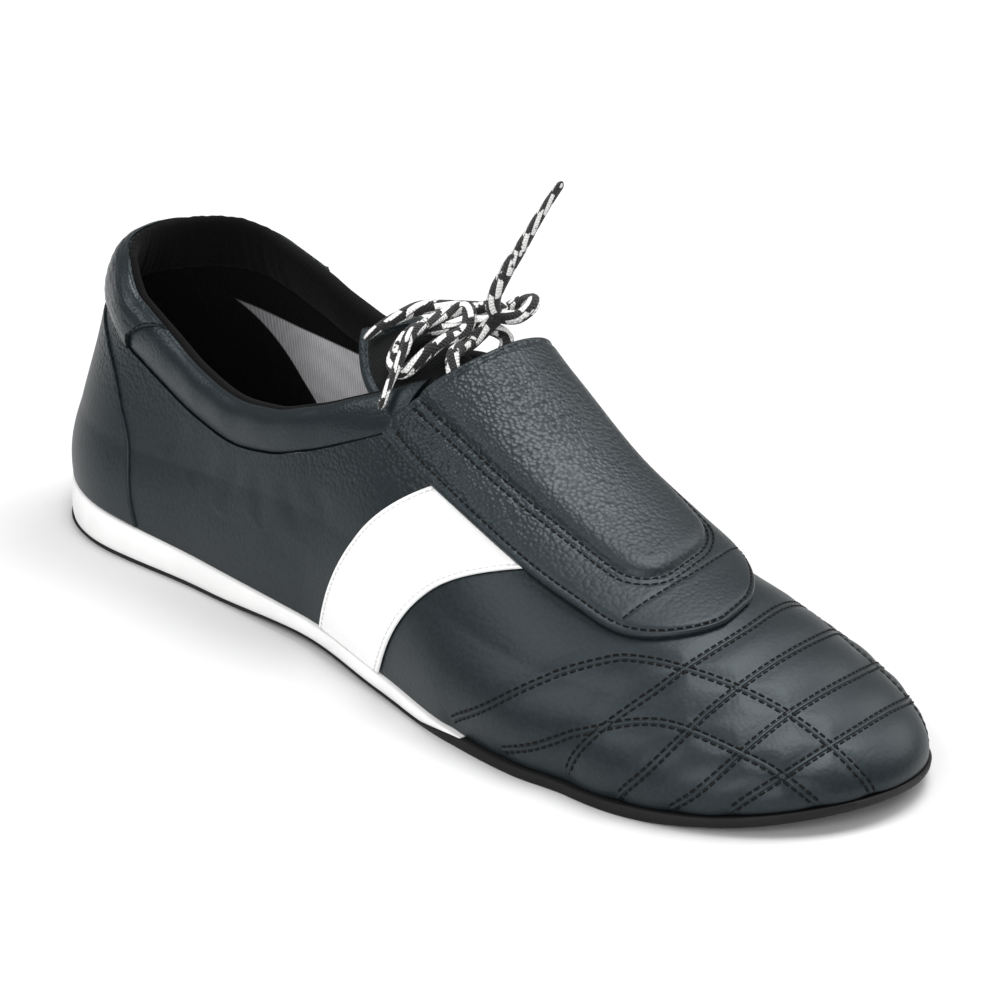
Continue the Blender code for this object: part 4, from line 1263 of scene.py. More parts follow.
@made_once("materials")
def side_lining(name):
    """Lining inside the shoe: black at the heel and under the collar, grey and ribbed along the sides, with
    painted shade that darkens the grey towards the heel.
    """
    made, tree, shader, position = new_material(name)
    weave = place_group(tree, rib_group("Textile Rib"), {
        "Position": position, "Pitch": LINING_PITCH, "Ribbing": LINING_RIBBING,
    })
    place = axes(tree, position)
    leaning = calculate(tree, "MULTIPLY_ADD", place["Z"], LINING_LEAN, place["X"])
    start = LINING_START + FRAME_SHIFT[0]
    ahead = remap(tree, leaning, start - LINING_EDGE, start + LINING_EDGE)
    back = calculate(tree, "SUBTRACT", LINING_CURVE_START + FRAME_SHIFT[0], place["X"])
    back = calculate(tree, "MAXIMUM", back, 0.0)
    top = calculate(tree, "MULTIPLY_ADD", calculate(tree, "MULTIPLY", back, back), LINING_CURVE, LINING_TOP)
    under = remap(tree, calculate(tree, "SUBTRACT", top, place["Z"]), -LINING_EDGE, LINING_EDGE)
    # Painted shade: the grey darkens towards the heel, down to its darkest share behind the shade's start
    tip = LINING_PAINTED_SHADE_START + FRAME_SHIFT[0]
    woven = calculate(tree, "MULTIPLY_ADD", weave["Tone"], 0.5, 0.5)
    light = calculate(tree, "MULTIPLY", remap(tree, place["X"], tip, tip + LINING_PAINTED_SHADE_FADE), woven)
    grey = two_tone(tree, light, colour("insole", LINING_GREY_SHADE), colour("insole"))
    black = two_tone(tree, weave["Tone"], colour("lining", LINING_BLACK_SHADE), colour("lining"))
    wire(tree, shader, {
        "Normal": bump(tree, weave["Height"], LINING_DEPTH),
        "Base Color": two_tone(tree, calculate(tree, "MULTIPLY", ahead, under), black, grey),
        "Roughness": 0.95,
        "Specular IOR Level": 0.15,
    })
    return made


@made_once("materials")
def moulded(name):
    """Moulded rubber or enamel with a fine speckle and faint smudges."""
    base, rough, speckle, depth = MOULDED[name]
    made, tree, shader, position = new_material(name)
    smudge = noise(tree, position, SMUDGE_SCALE, 3.0)
    share = remap(tree, smudge, *SMUDGE)
    wire(tree, shader, {
        "Normal": bump(tree, noise(tree, position, speckle, 3.0), depth),
        "Base Color": two_tone(tree, share, colour(base, MOULDED_SHADE), colour(base)),
        "Roughness": remap(tree, smudge, *SMUDGE, *rough),
        "Specular IOR Level": 0.3,
    })
    return made


@made_once("materials")
def yarn(name):
    """Twisted sewing thread."""
    base, share = THREADS[name]
    made, tree, shader, position = new_material(name)
    twist = noise(tree, position, THREAD_TWIST_SCALE, 2.0)
    wire(tree, shader, {
        "Normal": bump(tree, twist, THREAD_DEPTH),
        "Base Color": two_tone(tree, twist, colour(base, share * THREAD_SHADE), colour(base, share)),
        "Roughness": 0.7,
        "Specular IOR Level": 0.2,
    })
    return made


@made_once("materials")
def lace_cord(name):
    """Black braid with white flecks."""
    made, tree, shader, position = new_material(name)
    around = add_node(tree, "ShaderNodeUVMap", uv_map="Braid").outputs["UV"]
    places = {"Around And Along": around, "Position": position}
    braid = place_group(tree, fleck_group("Flecked Braid"), places)
    fuzz = noise(tree, position, LACE_FUZZ_SCALE, 2.0)
    height = calculate(tree, "MULTIPLY_ADD", fuzz, LACE_FUZZ, braid["Height"])
    wire(tree, shader, {
        "Normal": bump(tree, height, LACE_DEPTH),
        "Base Color": two_tone(tree, braid["Fleck"], colour("lace_dark"), colour("lace_light")),
        "Roughness": 0.8,
        "Sheen Weight": 0.15,
    })
    return made


@made_once("materials")
def floor_paper(name):
    """Matt paper with a fine tooth."""
    made, tree, shader, position = new_material(name)
    wire(tree, shader, {
        "Normal": bump(tree, noise(tree, position, FLOOR_TOOTH_SCALE, 2.0), FLOOR_DEPTH),
        "Base Color": (*bpy.context.scene.shoe_stage.floor, 1.0),
        "Roughness": 0.95,
        "Specular IOR Level": 0.1,
    })
    return made


# Upper

def collar_turns():
    """Turns of the ribs from the heel's back to the collar's front end."""
    heel = np.linspace(0, 1, HEEL_RIBS, endpoint=False)
    return np.concatenate([heel, turn_at(np.linspace(HEEL_CENTRE, COLLAR_END, QUARTER_RIBS))])


def upper_turns():
    """Turns of the ribs from the heel's back to the toe's tip."""
    eyestay = turn_at(np.linspace(EYESTAY_START, THROAT_END, EYESTAY_RIBS))
    vamp = turn_at(np.linspace(THROAT_END, TOE_CENTRE, VAMP_RIBS))[1:-1]
    toe = np.linspace(2, 3, TOE_RIBS)
    return np.concatenate([collar_turns(), eyestay, vamp, toe])


def upper_end(side, turn):
    """Angle where the upper stops (under the collar, at the throat's edge or at the ridge), angle of
    its low line, and whether it stops at the ridge."""
    foot_station, _, spine_station, _ = rib(side, turn)
    seam = angle_at_height(side, turn, collar_height("seam", side, foot_station))
    throat = angle_at_across(side, turn, throat_half(spine_station))
    under_collar = spine_station <= COLLAR_END + 1e-6
    closed = spine_station >= THROAT_END - 1e-6
    end = np.where(under_collar, seam, np.where(closed, np.pi / 2, throat))
    blend = ease(spine_station, COLLAR_END, EYESTAY_BLEND_END)
    low = np.where(under_collar, seam, np.minimum(end, seam + (end - seam) * blend))
    return end, low, closed


def row_angles(low, end, count, power):
    """Angles of the upper's rows, evenly up to its low line and then on to its end."""
    low_count = int(count * LOW_ROWS_SHARE)
    rising = low[:, None] * np.linspace(0, 1, low_count) ** power * LOW_ROWS_SHARE
    rest = np.linspace(0, 1, count - low_count + 1)[1:]
    top = low[:, None] * LOW_ROWS_SHARE + (end - low * LOW_ROWS_SHARE)[:, None] * rest
    return np.concatenate([rising, top], axis=1)


def vamp_seams():
    """Points and normals of each seam line on the vamp."""
    lines = []
    for rows in CROSS_SEAMS + ARC_SEAMS:
        chart = smooth_line(rows, SEAM_STEP)
        place = toe_chart(chart[:, 0], chart[:, 1])
        lines.append((surface(*place), normal_at(*place)))
    return lines


def crease_line(side, middle, share, length, direction):
    """Short line on the quarter, at a direction from the shoe's length."""
    reach = np.linspace(-0.5, 0.5, CREASE_POINTS) * length
    heading = math.radians(direction)
    station = middle + reach * math.cos(heading)
    turn = turn_at(station)
    top = collar_height("seam", side, station)
    bottom = last("feather", station)
    height = bottom + (top - bottom) * share + reach * math.sin(heading)
    sides = np.full(len(station), float(side))
    return surface(sides, turn, angle_at_height(sides, turn, height))


def upper_relief():
    """Troughs of the vamp's seams and creases of the quarters."""
    relief = Relief()
    for points, _ in vamp_seams():
        relief.add(points, sizes().seam_depth, sizes().seam_width)
    for side in (LATERAL, MEDIAL):
        for *place, depth, width in CREASES:
            relief.add(crease_line(side, *place), depth, width, taper=True)
    return relief


def share_ridge(normals, closed):
    """Give the two sides one normal at each point of the ridge, where they meet."""
    lateral = np.nonzero(closed[1:len(normals) // 2])[0] + 1
    medial = len(normals) - lateral
    shared = unit(normals[lateral, -1] + normals[medial, -1])
    normals[lateral, -1] = shared
    normals[medial, -1] = shared


def share_pole(normals, toe):
    """Give the toe's ribs one normal at the pole, where they all meet."""
    normals[toe, -1] = unit(normals[toe, -1].mean(axis=0))


class SHOE_OT_upper(bpy.types.Operator):
    """Leather upper with quilted vamp, creased quarters and a textile lining"""
    bl_idname = "shoe.upper"
    bl_label = "Upper"

    def execute(self, context):
        relief = upper_relief()
        self.add_wall(relief)
        self.add_seams(relief)
        return {"FINISHED"}

    def add_wall(self, relief):
        side, turn = ring(upper_turns())
        end, low, closed = upper_end(side, turn)
        toe = turn >= 2 - 1e-9
        place = (side[:, None], turn[:, None], row_angles(low, end, UPPER_ROWS, ROW_POWER))
        points = surface(*place)
        normals = normal_at(*place)
        share_ridge(normals, closed)
        share_pole(normals, toe)
        outer = points + normals * relief.push(points)[..., None]
        place = (side[:, None], turn[:, None], row_angles(low, end, LINING_ROWS, 1.0))
        normals = normal_at(*place)
        share_pole(normals, toe)
        share_ridge(normals, closed)
        inner = surface(*place) - normals * sizes().wall
        solid = Solid()
        outside = solid.add_grid(outer, 0, close_along=True)
        inside = solid.add_grid(inner, 1, close_along=True)
        solid.join(outside[:, 0], inside[:, 0], close=True)
        for number in range(len(side)):
            after = (number + 1) % len(side)
            if not (closed[number] and closed[after]):
                solid.join(outside[[number, after], -1], inside[[number, after], -1])
        finishes = [leather("Black Leather"), side_lining("Side Lining")]
        solid.make("upper_leather", finishes, "upper_leather", ["upper"])

    def add_seams(self, relief):
        spacing = sizes().row_spacing
        ridges = Solid()
        stitching = Solid()
        for line, normal in vamp_seams():
            sunk = line + normal * relief.push(line)[:, None]
            add_ridge(ridges, sunk, normal, spacing * SEAM_RIDGE_SHARE, SEAM_RIDGE)
            for offset in (-0.5, 0.5):
                add_stitches(stitching, sunk, normal, offset * spacing)
        ridges.make("vamp_seam_ridges", [leather("Black Leather")], "upper_leather")
        stitching.make("vamp_stitching", [yarn("Black Thread")], "upper_leather")


# Collar, heel tab and counter

def roll(side, turn, section_angle, grow):
    """Point around the collar's section: 0 is its outer face, a right angle its rim."""
    foot_station = rib(side, turn)[0]
    seam = angle_at_height(side, turn, collar_height("seam", side, foot_station))
    rim = angle_at_height(side, turn, collar_height("rim", side, foot_station))
    outside = look_up(COLLAR, "outside", foot_station)
    inside = look_up(COLLAR, "inside", foot_station)
    sine = np.sin(section_angle)
    cosine = np.cos(section_angle)
    up = np.sign(sine) * np.abs(sine) ** (2 / COLLAR_POWER)
    out = np.sign(cosine) * np.abs(cosine) ** (2 / COLLAR_POWER)
    fade = [turn_at(COLLAR_END) - before for before in COLLAR_BULGE_BEFORE_END]
    full = ease(turn, *COLLAR_BULGE_TURNS) * (1 - ease(turn, *fade))
    bulge = COLLAR_BULGE * full * np.clip(np.cos(section_angle - COLLAR_BULGE_TILT), 0, 1) ** 2
    height_share = 0.5 + up * (0.5 + (grow - GAP) / COLLAR_HEIGHT)
    lift = (outside + inside) / 2 + out * ((outside - inside) / 2 + grow) + bulge
    return lifted(side, turn, seam + (rim - seam) * height_share, lift)


def collar_drop(side, turn):
    """Degrees by which the leather's top edge drops outward along the medial side."""
    return COLLAR_MEDIAL_DROP * ease(side * turn, 0.0, COLLAR_DROP_TURN)


class SHOE_OT_collar(bpy.types.Operator):
    """Padded roll around the ankle, leather outside and pile inside"""
    bl_idname = "shoe.collar"
    bl_label = "Collar"

    def execute(self, context):
        turns = collar_turns()
        side = np.array([LATERAL] * len(turns) + [MEDIAL] * (len(turns) - 1), float)[:, None]
        turn = np.concatenate([turns[::-1], turns[1:]])[:, None]
        degrees = np.arange(COLLAR_AROUND) * 360.0 / COLLAR_AROUND
        lining_start, lining_end = COLLAR_LINING_ANGLES
        from_start = degrees - lining_start
        settle = COLLAR_SETTLE * np.clip(-np.sin(np.radians(degrees)), 0, 1) ** 2
        grow = -trough(from_start, COLLAR_GROOVE_DEPTH, COLLAR_GROOVE_WIDTH)
        grow = grow + self.sag(turn, degrees) + settle - COLLAR_SLACK
        drop = collar_drop(side, turn) * np.clip(1 - np.abs(from_start) / COLLAR_DROP_SPREAD, 0, 1)
        rows = roll(side, turn, np.radians(degrees - drop), grow)
        lined = (degrees >= lining_start) & (degrees < lining_end)
        solid = Solid()
        solid.add_tube(rows, lined.astype(int))
        finishes = [leather("Collar Leather"), textile("Pile Lining")]
        piece = solid.make("collar_padding", finishes, "collar_leather", ["collar"])
        return {"FINISHED"}

    def sag(self, turn, degrees):
        """Unevenness of the padding."""
        quick, slow = COLLAR_SAG_WAVES
        waves = np.sin(turn * quick) * np.sin(turn * slow + COLLAR_SAG_SHIFT)
        return COLLAR_SAG * waves * np.cos(np.radians(degrees - COLLAR_SAG_TILT))


def edge_shares(count, power=1.6):
    """Shares from 0 to 1 that crowd towards both ends."""
    even = np.linspace(-1, 1, count)
    return 0.5 + 0.5 * np.sign(even) * (1 - (1 - np.abs(even)) ** power)


def around_heel(edge_turns, shares):
    """Sides and turns of a panel around the heel, for each row's front edge."""
    spread = 2 * shares - 1
    turn = np.abs(spread)[:, None] * edge_turns[None, :]
    side = np.where(spread > 0, MEDIAL, LATERAL)[:, None] * np.ones_like(turn)
    return side, turn


def runs(points):
    """Length along each column of a grid of points, from the grid's first row."""
    steps = np.linalg.norm(np.diff(points, axis=0), axis=-1)
    return np.concatenate([np.zeros((1, points.shape[1])), np.cumsum(steps, axis=0)])


def edge_distance(points):
    """Distance of each point of a grid from the grid's edges, measured along its rows and columns."""
    along = runs(points)
    across = runs(points.swapaxes(0, 1)).T
    return np.minimum(np.minimum(along, along[-1:] - along), np.minimum(across, across[:, -1:] - across))


class SHOE_OT_heel_panels(bpy.types.Operator):
    """Heel counter over the upper and tab over the back of the collar"""
    bl_idname = "shoe.heel_panels"
    bl_label = "Heel Panels"

    def execute(self, context):
        self.add_counter()
        self.add_tab()
        return {"FINISHED"}

    def add_counter(self):
        shares, around = (edge_shares(count) for count in COUNTER_GRID)
        side, turn = around_heel(look_up(COUNTER, "turn", shares), around)
        foot_station = rib(side, turn)[0]
        top = angle_at_height(side, turn, collar_height("seam", side, foot_station) - COUNTER_BELOW_SEAM)
        bottom = angle_at_height(side, turn, last("feather", foot_station) + GAP)
        angle = bottom + (top - bottom) * shares[None, :]
        base = surface(side, turn, angle)
        normal = normal_at(side, turn, angle)
        lift = COUNTER_LIFT - rounded(edge_distance(base), OVERLAY_ROUND)
        solid = Solid()
        solid.add_shell(base + normal * lift[..., None], base + normal * (COUNTER_LIFT - COUNTER_WALL))
        solid.make("heel_counter_panel", [leather("Black Leather")], "upper_leather", ["heel_counter"])

    def add_tab(self):
        shares, around = (edge_shares(count) for count in TAB_GRID)
        low = TAB[1][0]
        degrees = low + (TAB_TOP - low) * shares
        side, turn = around_heel(turn_at(look_up(TAB, "station", degrees)), around)
        section = np.radians(degrees - collar_drop(side, turn) * ease(degrees, low, TAB_TOP))
        base = roll(side, turn, section, TAB_GROW)
        thin = TAB_THIN * ease(degrees, TAB_THIN_START, TAB_TOP)[None, :]
        grow = TAB_GROW - thin - rounded(edge_distance(base), OVERLAY_ROUND) + self.crinkle(section, turn)
        outer = roll(side, turn, section, grow)
        inner = roll(side, turn, section, TAB_SEAT)
        solid = Solid()
        solid.add_shell(outer, inner)
        solid.make("heel_tab_leather", [leather("Collar Leather")], "collar_leather", ["heel_tab"])
        stitching = Solid()
        for line in (np.s_[TAB_STITCH_LINE], np.s_[-1 - TAB_STITCH_LINE], np.s_[:, TAB_STITCH_LINE]):
            add_stitches(stitching, outer[line], unit(outer[line] - inner[line]))
        stitching.make("heel_tab_stitching", [yarn("Black Thread")], "collar_leather")

    def crinkle(self, section, turn):
        """Fine folds along the tab, bent and broken up."""
        bend, bend_waves = TAB_FOLD_BEND
        folds = np.sin(section * TAB_FOLD_WAVES + bend * np.sin(turn * bend_waves))
        break_waves, break_slant = TAB_FOLD_BREAKS
        return TAB_CRINKLE * folds * np.sin(turn * break_waves + section * break_slant)


class SHOE_OT_side_panels(bpy.types.Operator):
    """White panel over each side of the arch, with stitched edges"""
    bl_idname = "shoe.side_panels"
    bl_label = "Side Panels"

    def execute(self, context):
        for name, side in (("side_panel_lateral", LATERAL), ("side_panel_medial", MEDIAL)):
            self.add_panel(name, side)
        return {"FINISHED"}

    def add_panel(self, name, side):
        shares, along = (edge_shares(count) for count in SIDE_PANEL_GRID)
        rear = look_up(SIDE_PANEL, "rear", shares)
        front = look_up(SIDE_PANEL, "front", shares)
        turn = turn_at(rear + (front - rear) * along[:, None])
        sides = np.full(turn.shape, float(side))
        top = angle_at_across(sides, turn, SIDE_PANEL_TOP)
        bottom = angle_at_height(sides, turn, last("feather", rib(sides, turn)[0]) + GAP)
        angle = bottom + (top - bottom) * shares[None, :]
        base = surface(sides, turn, angle)
        normal = normal_at(sides, turn, angle)
        from_rear = runs(base)
        from_edges = (from_rear, from_rear[-1:] - from_rear)
        lift = OVERLAY_LIFT - rounded(edge_distance(base), OVERLAY_ROUND)
        lift = lift - trough(np.minimum(*from_edges) - PANEL_STITCH_INSET, *PANEL_TROUGH)
        outer = base + normal * lift[..., None]
        solid = Solid()
        solid.add_shell(outer, base + normal * (OVERLAY_LIFT - OVERLAY_WALL))
        solid.make(f"{name}_leather", [leather("White Leather")], "panel_leather", [name])
        stitching = Solid()
        column = np.arange(outer.shape[1])
        for from_edge in from_edges:
            row = np.abs(from_edge - PANEL_STITCH_INSET).argmin(axis=0)
            add_stitches(stitching, outer[row, column], normal[row, column], 0.0, PANEL_STITCH_SCALE)
        stitching.make(f"{name}_stitching", [yarn("White Thread")], "panel_leather")


# Tongue and lace cover

class SHOE_OT_tongue(bpy.types.Operator):
    """Padded textile tongue with a bound edge"""
    bl_idname = "shoe.tongue"
    bl_label = "Tongue"

    def execute(self, context):
        along, across = (edge_shares(count) for count in TONGUE_GRID)
        share = (2 * across - 1)[None, :]
        start = TONGUE_TIP - TONGUE_TIP_SWEEP * share**2
        station = start + (TONGUE_END - start) * along[:, None]
        into_corner = np.clip(1 - (station - start) / TONGUE_CORNER, 0, 1)
        corner = TONGUE_CORNER_SHARE * (1 - np.sqrt(1 - into_corner**2))
        place = share * (look_up(TONGUE, "half", station) * (1 - corner))
        lift = look_up(TONGUE, "lift", station)
        edge = edge_distance(over(station, place, lift))
        drop = rounded(edge, TONGUE_ROUND)
        outer = over(station, place, lift - (drop + trough(edge - BINDING_WIDTH, *BINDING_GROOVE)))
        inner = over(station, place, lift - (TONGUE_WALL - drop))
        bound = (edge < BINDING_WIDTH)[:-1, :-1].astype(int)
        solid = Solid()
        solid.add_shell(outer, inner, (bound, 1, 1))
        finishes = [textile("Tongue Textile"), leather("Collar Leather")]
        piece = solid.make("tongue_padding", finishes, "tongue_textile", ["tongue"])
        return {"FINISHED"}


def cover(name, station):
    return look_up(COVER, name, station)


def cover_half(station):
    """Half width of the lace cover, rounded off to a short straight front edge."""
    into_round = np.clip((station - COVER_ROUND_START) / (COVER_END - COVER_ROUND_START), 0, 1)
    half = cover("half", np.minimum(station, COVER_ROUND_START))
    return half * np.sqrt(1 - (COVER_ROUND_SHARE * into_round) ** COVER_ROUND_POWER)


def cover_edge(station, across):
    """Distance from the lace cover's edge, inside positive."""
    step = 0.0004
    slope = (cover_half(station + step) - cover_half(station - step)) / (2 * step)
    beside = (cover_half(station) - np.abs(across)) / np.sqrt(1 + slope**2)
    return np.minimum(beside, np.minimum(station - COVER_START, COVER_END - station))


def cover_place(station, across):
    """Station on the shoe of a place on the cover's flat pattern: its top edge dips in the middle
    and its front edge slants back towards the medial side."""
    share = np.clip(across / cover_half(station), -1, 1)
    dip = COVER_TOP_SWEEP * (1 - share**2) * (1 - ease(station, COVER_START, COVER_TOP_SWEEP_END))
    slant = COVER_SLANT * np.clip(across - COVER_SLANT_FROM, 0, None) ** 2
    return station + dip - slant * ease(station, COVER_SLANT_START, COVER_END)


def cover_form(station, across):
    """Lift of the flap over the laces, before its pad and seams."""
    share = np.clip(across / cover_half(station), -1, 1)
    place = cover_place(station, across)
    rise = look_up(COVER_PROFILE, "rise", share)
    return cover("edge", place) + (cover("crown", place) - cover("edge", place)) * rise


def on_cover(station, across, lift):
    """Point of the flat pattern laid over the shoe."""
    return over(cover_place(station, across), across, lift)


def pad_half(station, across):
    lateral = look_up(PAD, "lateral", station)
    return np.where(across < 0, lateral, look_up(PAD, "medial", station))


def pad_edge(station, across):
    """Distance from the pad's edge, inside positive, with round front corners."""
    half = pad_half(station, across)
    beside = np.abs(across) - (half - PAD_CORNER)
    ahead = station - (PAD_END - PAD_CORNER)
    outside = np.hypot(np.maximum(beside, 0), np.maximum(ahead, 0))
    return PAD_CORNER - outside - np.minimum(np.maximum(beside, ahead), 0)


def cover_lift(station, across):
    """Lift of the lace cover's outer face: its form, a raised pad, sewn troughs and a rolled edge."""
    inside_pad = pad_edge(station, across)
    shoulder = np.clip(inside_pad / PAD_SHOULDER, 0, 1)
    lift = cover_form(station, across) + sizes().pad_rise * np.sqrt(1 - (1 - shoulder) ** 2) - COVER_SINK
    for inset in PAD_SEAM_ROWS:
        lift = lift - trough(inside_pad + inset, *PAD_TROUGH)
    inside_edge = cover_edge(station, across)
    lift = lift - trough(inside_edge - COVER_STITCH_INSET, *COVER_TROUGH)
    crossing = station - look_up(CROSS_STITCH, "station", across)
    lift = lift - trough(crossing, *PAD_TROUGH) * (inside_edge > COVER_STITCH_INSET)
    return lift - rounded(np.maximum(inside_edge, 0), COVER_EDGE_ROUND)


def cover_line(station, across):
    """Points and normals of a line on the lace cover."""
    step = 0.0006
    along = (on_cover(station + step, across, cover_form(station + step, across))
             - on_cover(station - step, across, cover_form(station - step, across)))
    beside = (on_cover(station, across + step, cover_form(station, across + step))
              - on_cover(station, across - step, cover_form(station, across - step)))
    return on_cover(station, across, cover_lift(station, across)), unit(np.cross(along, beside))


class SHOE_OT_lace_cover(bpy.types.Operator):
    """Padded leather flap over the lacing, with its stitching"""
    bl_idname = "shoe.lace_cover"
    bl_label = "Lace Cover"

    def execute(self, context):
        crowded = np.linspace(0, 1, COVER_ALONG + 1) ** COVER_CROWD_ALONG
        straight = COVER_START + (COVER_ROUND_START - COVER_START) * crowded
        station = np.concatenate([straight[:-1], self.front_stations(COVER_ROUND_STEPS + 1)])[:, None]
        share = (2 * edge_shares(COVER_ACROSS, COVER_CROWD_ACROSS) - 1)[None, :]
        across = share * cover_half(station)
        station = station * np.ones_like(across)
        outer = on_cover(station, across, cover_lift(station, across))
        wall = COVER_WALL + COVER_EDGE_WALL * share**COVER_WALL_POWER
        inner = on_cover(station, across, cover_form(station, across) - wall)
        padded = (pad_edge(station, across)[:-1, :-1] > 0).astype(int)
        solid = Solid()
        solid.add_shell(outer, inner, (padded, 2, 0))
        finishes = [leather("Black Leather"), leather("Pebbled Leather"), textile("Pile Lining")]
        piece = solid.make("lace_cover_padding", finishes, "cover_leather", ["lace_cover"])
        self.add_stitching()
        return {"FINISHED"}

    def front_stations(self, count):
        """Stations around the front that crowd towards its end."""
        return COVER_ROUND_START + (COVER_END - COVER_ROUND_START) * np.sin(np.linspace(0, np.pi / 2, count))

    def add_stitching(self):
        stitching = Solid()
        for inset in PAD_SEAM_ROWS:
            add_stitches(stitching, *cover_line(*self.pad_outline(inset)))
        add_stitches(stitching, *cover_line(*self.edge_outline(COVER_STITCH_INSET)))
        across = np.linspace(CROSS_STITCH[1][0], CROSS_STITCH[-1][0], CROSS_STITCH_POINTS)
        station = look_up(CROSS_STITCH, "station", across)
        add_stitches(stitching, *cover_line(station, across))
        stitching.make("lace_cover_stitching", [yarn("Black Thread")], "cover_leather")

    def pad_outline(self, inset):
        """Line around the pad, outside its edge by an inset, from one side round the front to the other."""
        sides = []
        radius = PAD_CORNER + inset
        turn = np.linspace(0, np.pi / 2, OUTLINE_CORNER_POINTS)[1:]
        for side in (MEDIAL, LATERAL):
            station = np.linspace(COVER_START + PAD_SEAM_START, PAD_END - PAD_CORNER, OUTLINE_SIDE_POINTS)
            half = pad_half(station, side) + inset
            round_station = station[-1] + radius * np.sin(turn)
            round_across = half[-1] - radius + radius * np.cos(turn)
            across = side * np.concatenate([half, round_across])
            sides.append(np.stack([np.concatenate([station, round_station]), across], -1))
        return even_line(np.concatenate([sides[0], sides[1][::-1]]), OUTLINE_POINTS).T

    def edge_outline(self, inset):
        """Line inside the cover's edge by an inset."""
        side = np.linspace(COVER_START + inset, COVER_ROUND_START, OUTLINE_SIDE_POINTS)[:-1]
        station = np.concatenate([side, self.front_stations(OUTLINE_FRONT_POINTS)])
        half = cover_half(station)
        slope = np.nan_to_num(np.gradient(half, station), nan=STEEPEST, posinf=STEEPEST, neginf=STEEPEST)
        length = np.sqrt(1 + slope**2)
        right = np.stack([station + inset * slope / length, half - inset / length], -1)
        right = right[right[:, 1] > COVER_STITCH_FRONT]
        return even_line(np.concatenate([right, right[::-1] * (1, -1)]), OUTLINE_POINTS).T


# Sole

class SHOE_OT_sole(bpy.types.Operator):
    """White midsole, treaded outsole and ribbed insole"""
    bl_idname = "shoe.sole"
    bl_label = "Sole"

    def execute(self, context):
        self.add_outsole()
        self.add_midsole()
        self.add_insole()
        return {"FINISHED"}

    def add_outsole(self):
        depth = sizes().tread_depth

        def tread(station, across, share):
            ripple = TREAD_WAVE * np.sin(2 * np.pi * across / TREAD_WAVE_LENGTH)
            place = np.abs(((station + ripple) / TREAD_PITCH) % 1.0 - 0.5)
            return depth * ease(place, *TREAD_GROOVE) * (abs(share) < TREAD_EDGE)

        def plain_bottom(station, share):
            return sole_height("bottom", station) + arch(station, share)

        def bottom(foot, station, across, share):
            return plain_bottom(station, share) + tread(station, across, share)

        def low_side(foot, station, across, share):
            return plain_bottom(station, share) + OUTSOLE_CHAMFER

        def top(foot, station, across, share):
            return sole_height("outsole_top", foot) + arch(station, share)

        def high_side(foot, station, across, share):
            return top(foot, station, across, share) - OUTSOLE_BEVEL

        layers = (
            (OUTSOLE_EDGE - OUTSOLE_CHAMFER, bottom),
            (OUTSOLE_EDGE - OUTSOLE_CHAMFER * OUTSOLE_CHAMFER_SIDE, low_side),
            (OUTSOLE_EDGE, high_side),
            (OUTSOLE_EDGE - OUTSOLE_BEVEL, top),
        )
        turns = sole_turns(extra=(MIDSOLE_END + MIDSOLE_STEP_START, MIDSOLE_END + MIDSOLE_STEP))
        solid = Solid()
        sole_layer(solid, turns, layers, OUTSOLE_TOE_INSET)
        solid.make("outsole_rubber", [moulded("Outsole Rubber")], "outsole_rubber", ["outsole"])

    def add_midsole(self):
        def layer(inset, part):
            def height(foot, station, across, share):
                low = sole_height("outsole_top", foot) + arch(station, share) + RAND_GAP
                return low + (last("feather", foot) - GAP - low) * part
            return MIDSOLE_EDGE - inset, height

        layers = [layer(inset, part) for inset, part in MIDSOLE_LAYERS]
        solid = Solid()
        index = sole_layer(solid, sole_turns(end=MIDSOLE_END - GAP), layers, shares=MIDSOLE_SHARES)
        solid.add_faces([index[-1].tolist()])
        solid.make("midsole_rubber", [moulded("Midsole Rubber")], "midsole_rubber", ["midsole"])

    def add_insole(self):
        def bottom(foot, station, across, share):
            return last("feather", foot) + GAP

        def side(foot, station, across, share):
            return last("feather", foot) + GAP + INSOLE_THICKNESS * INSOLE_SIDE

        def top(foot, station, across, share):
            drop = INSOLE_EDGE_DROP * abs(share) ** INSOLE_EDGE_POWER
            return last("feather", foot) + GAP + INSOLE_THICKNESS - drop

        layers = ((-INSOLE_INSET, bottom), (-INSOLE_INSET, side), (-INSOLE_INSET - INSOLE_BEVEL, top))
        solid = Solid()
        sole_layer(solid, sole_turns(), layers, INSOLE_TOE_INSET, INSOLE_SHARES)
        solid.make("insole_textile", [textile("Insole Textile")], "insole_textile", ["insole"])


# Lace

def on_tongue(rows):
    """Points over the tongue's face from rows of station, distance from the spine and rise."""
    station, across, rise = np.array(rows, float).T
    return over(station, across, look_up(TONGUE, "lift", station) + rise)


def by_knot(rows):
    """Points around the bow's knot."""
    return on_tongue([KNOT_PLACE])[0] + np.array(rows)


def cord_sides(tangent, up):
    """Two directions square to a cord at each of its points, turning as little as they can."""
    if up is not None:
        side = unit(np.cross(up, tangent))
        return np.cross(tangent, side), side
    frames = [unit(np.cross(tangent[0], LACE_FIRST_SIDE))]
    for direction in tangent[1:]:
        frames.append(unit(frames[-1] - direction * np.dot(frames[-1], direction)))
    normal = np.array(frames)
    return normal, np.cross(tangent, normal)


def face_corners(grid):
    """The corners of each face of a grid, in turn."""
    corners = [grid[:-1, :-1], grid[:-1, 1:], grid[1:, 1:], grid[1:, :-1]]
    return np.stack(corners, 2).reshape(-1, *grid.shape[2:])


def braid_map(data, lengths):
    """Map of how far around and along the cord each face lies, in turns and diameters."""
    layer = data.uv_layers.new(name="Braid")
    around = np.arange(LACE_SIDES + 1) / LACE_SIDES
    along = lengths / sizes().lace
    corner = np.stack(np.meshgrid(around, along), -1)
    caps = np.zeros((2 * LACE_SIDES, 2))
    layer.data.foreach_set("uv", np.concatenate([face_corners(corner), caps]).astype(np.float32).ravel())


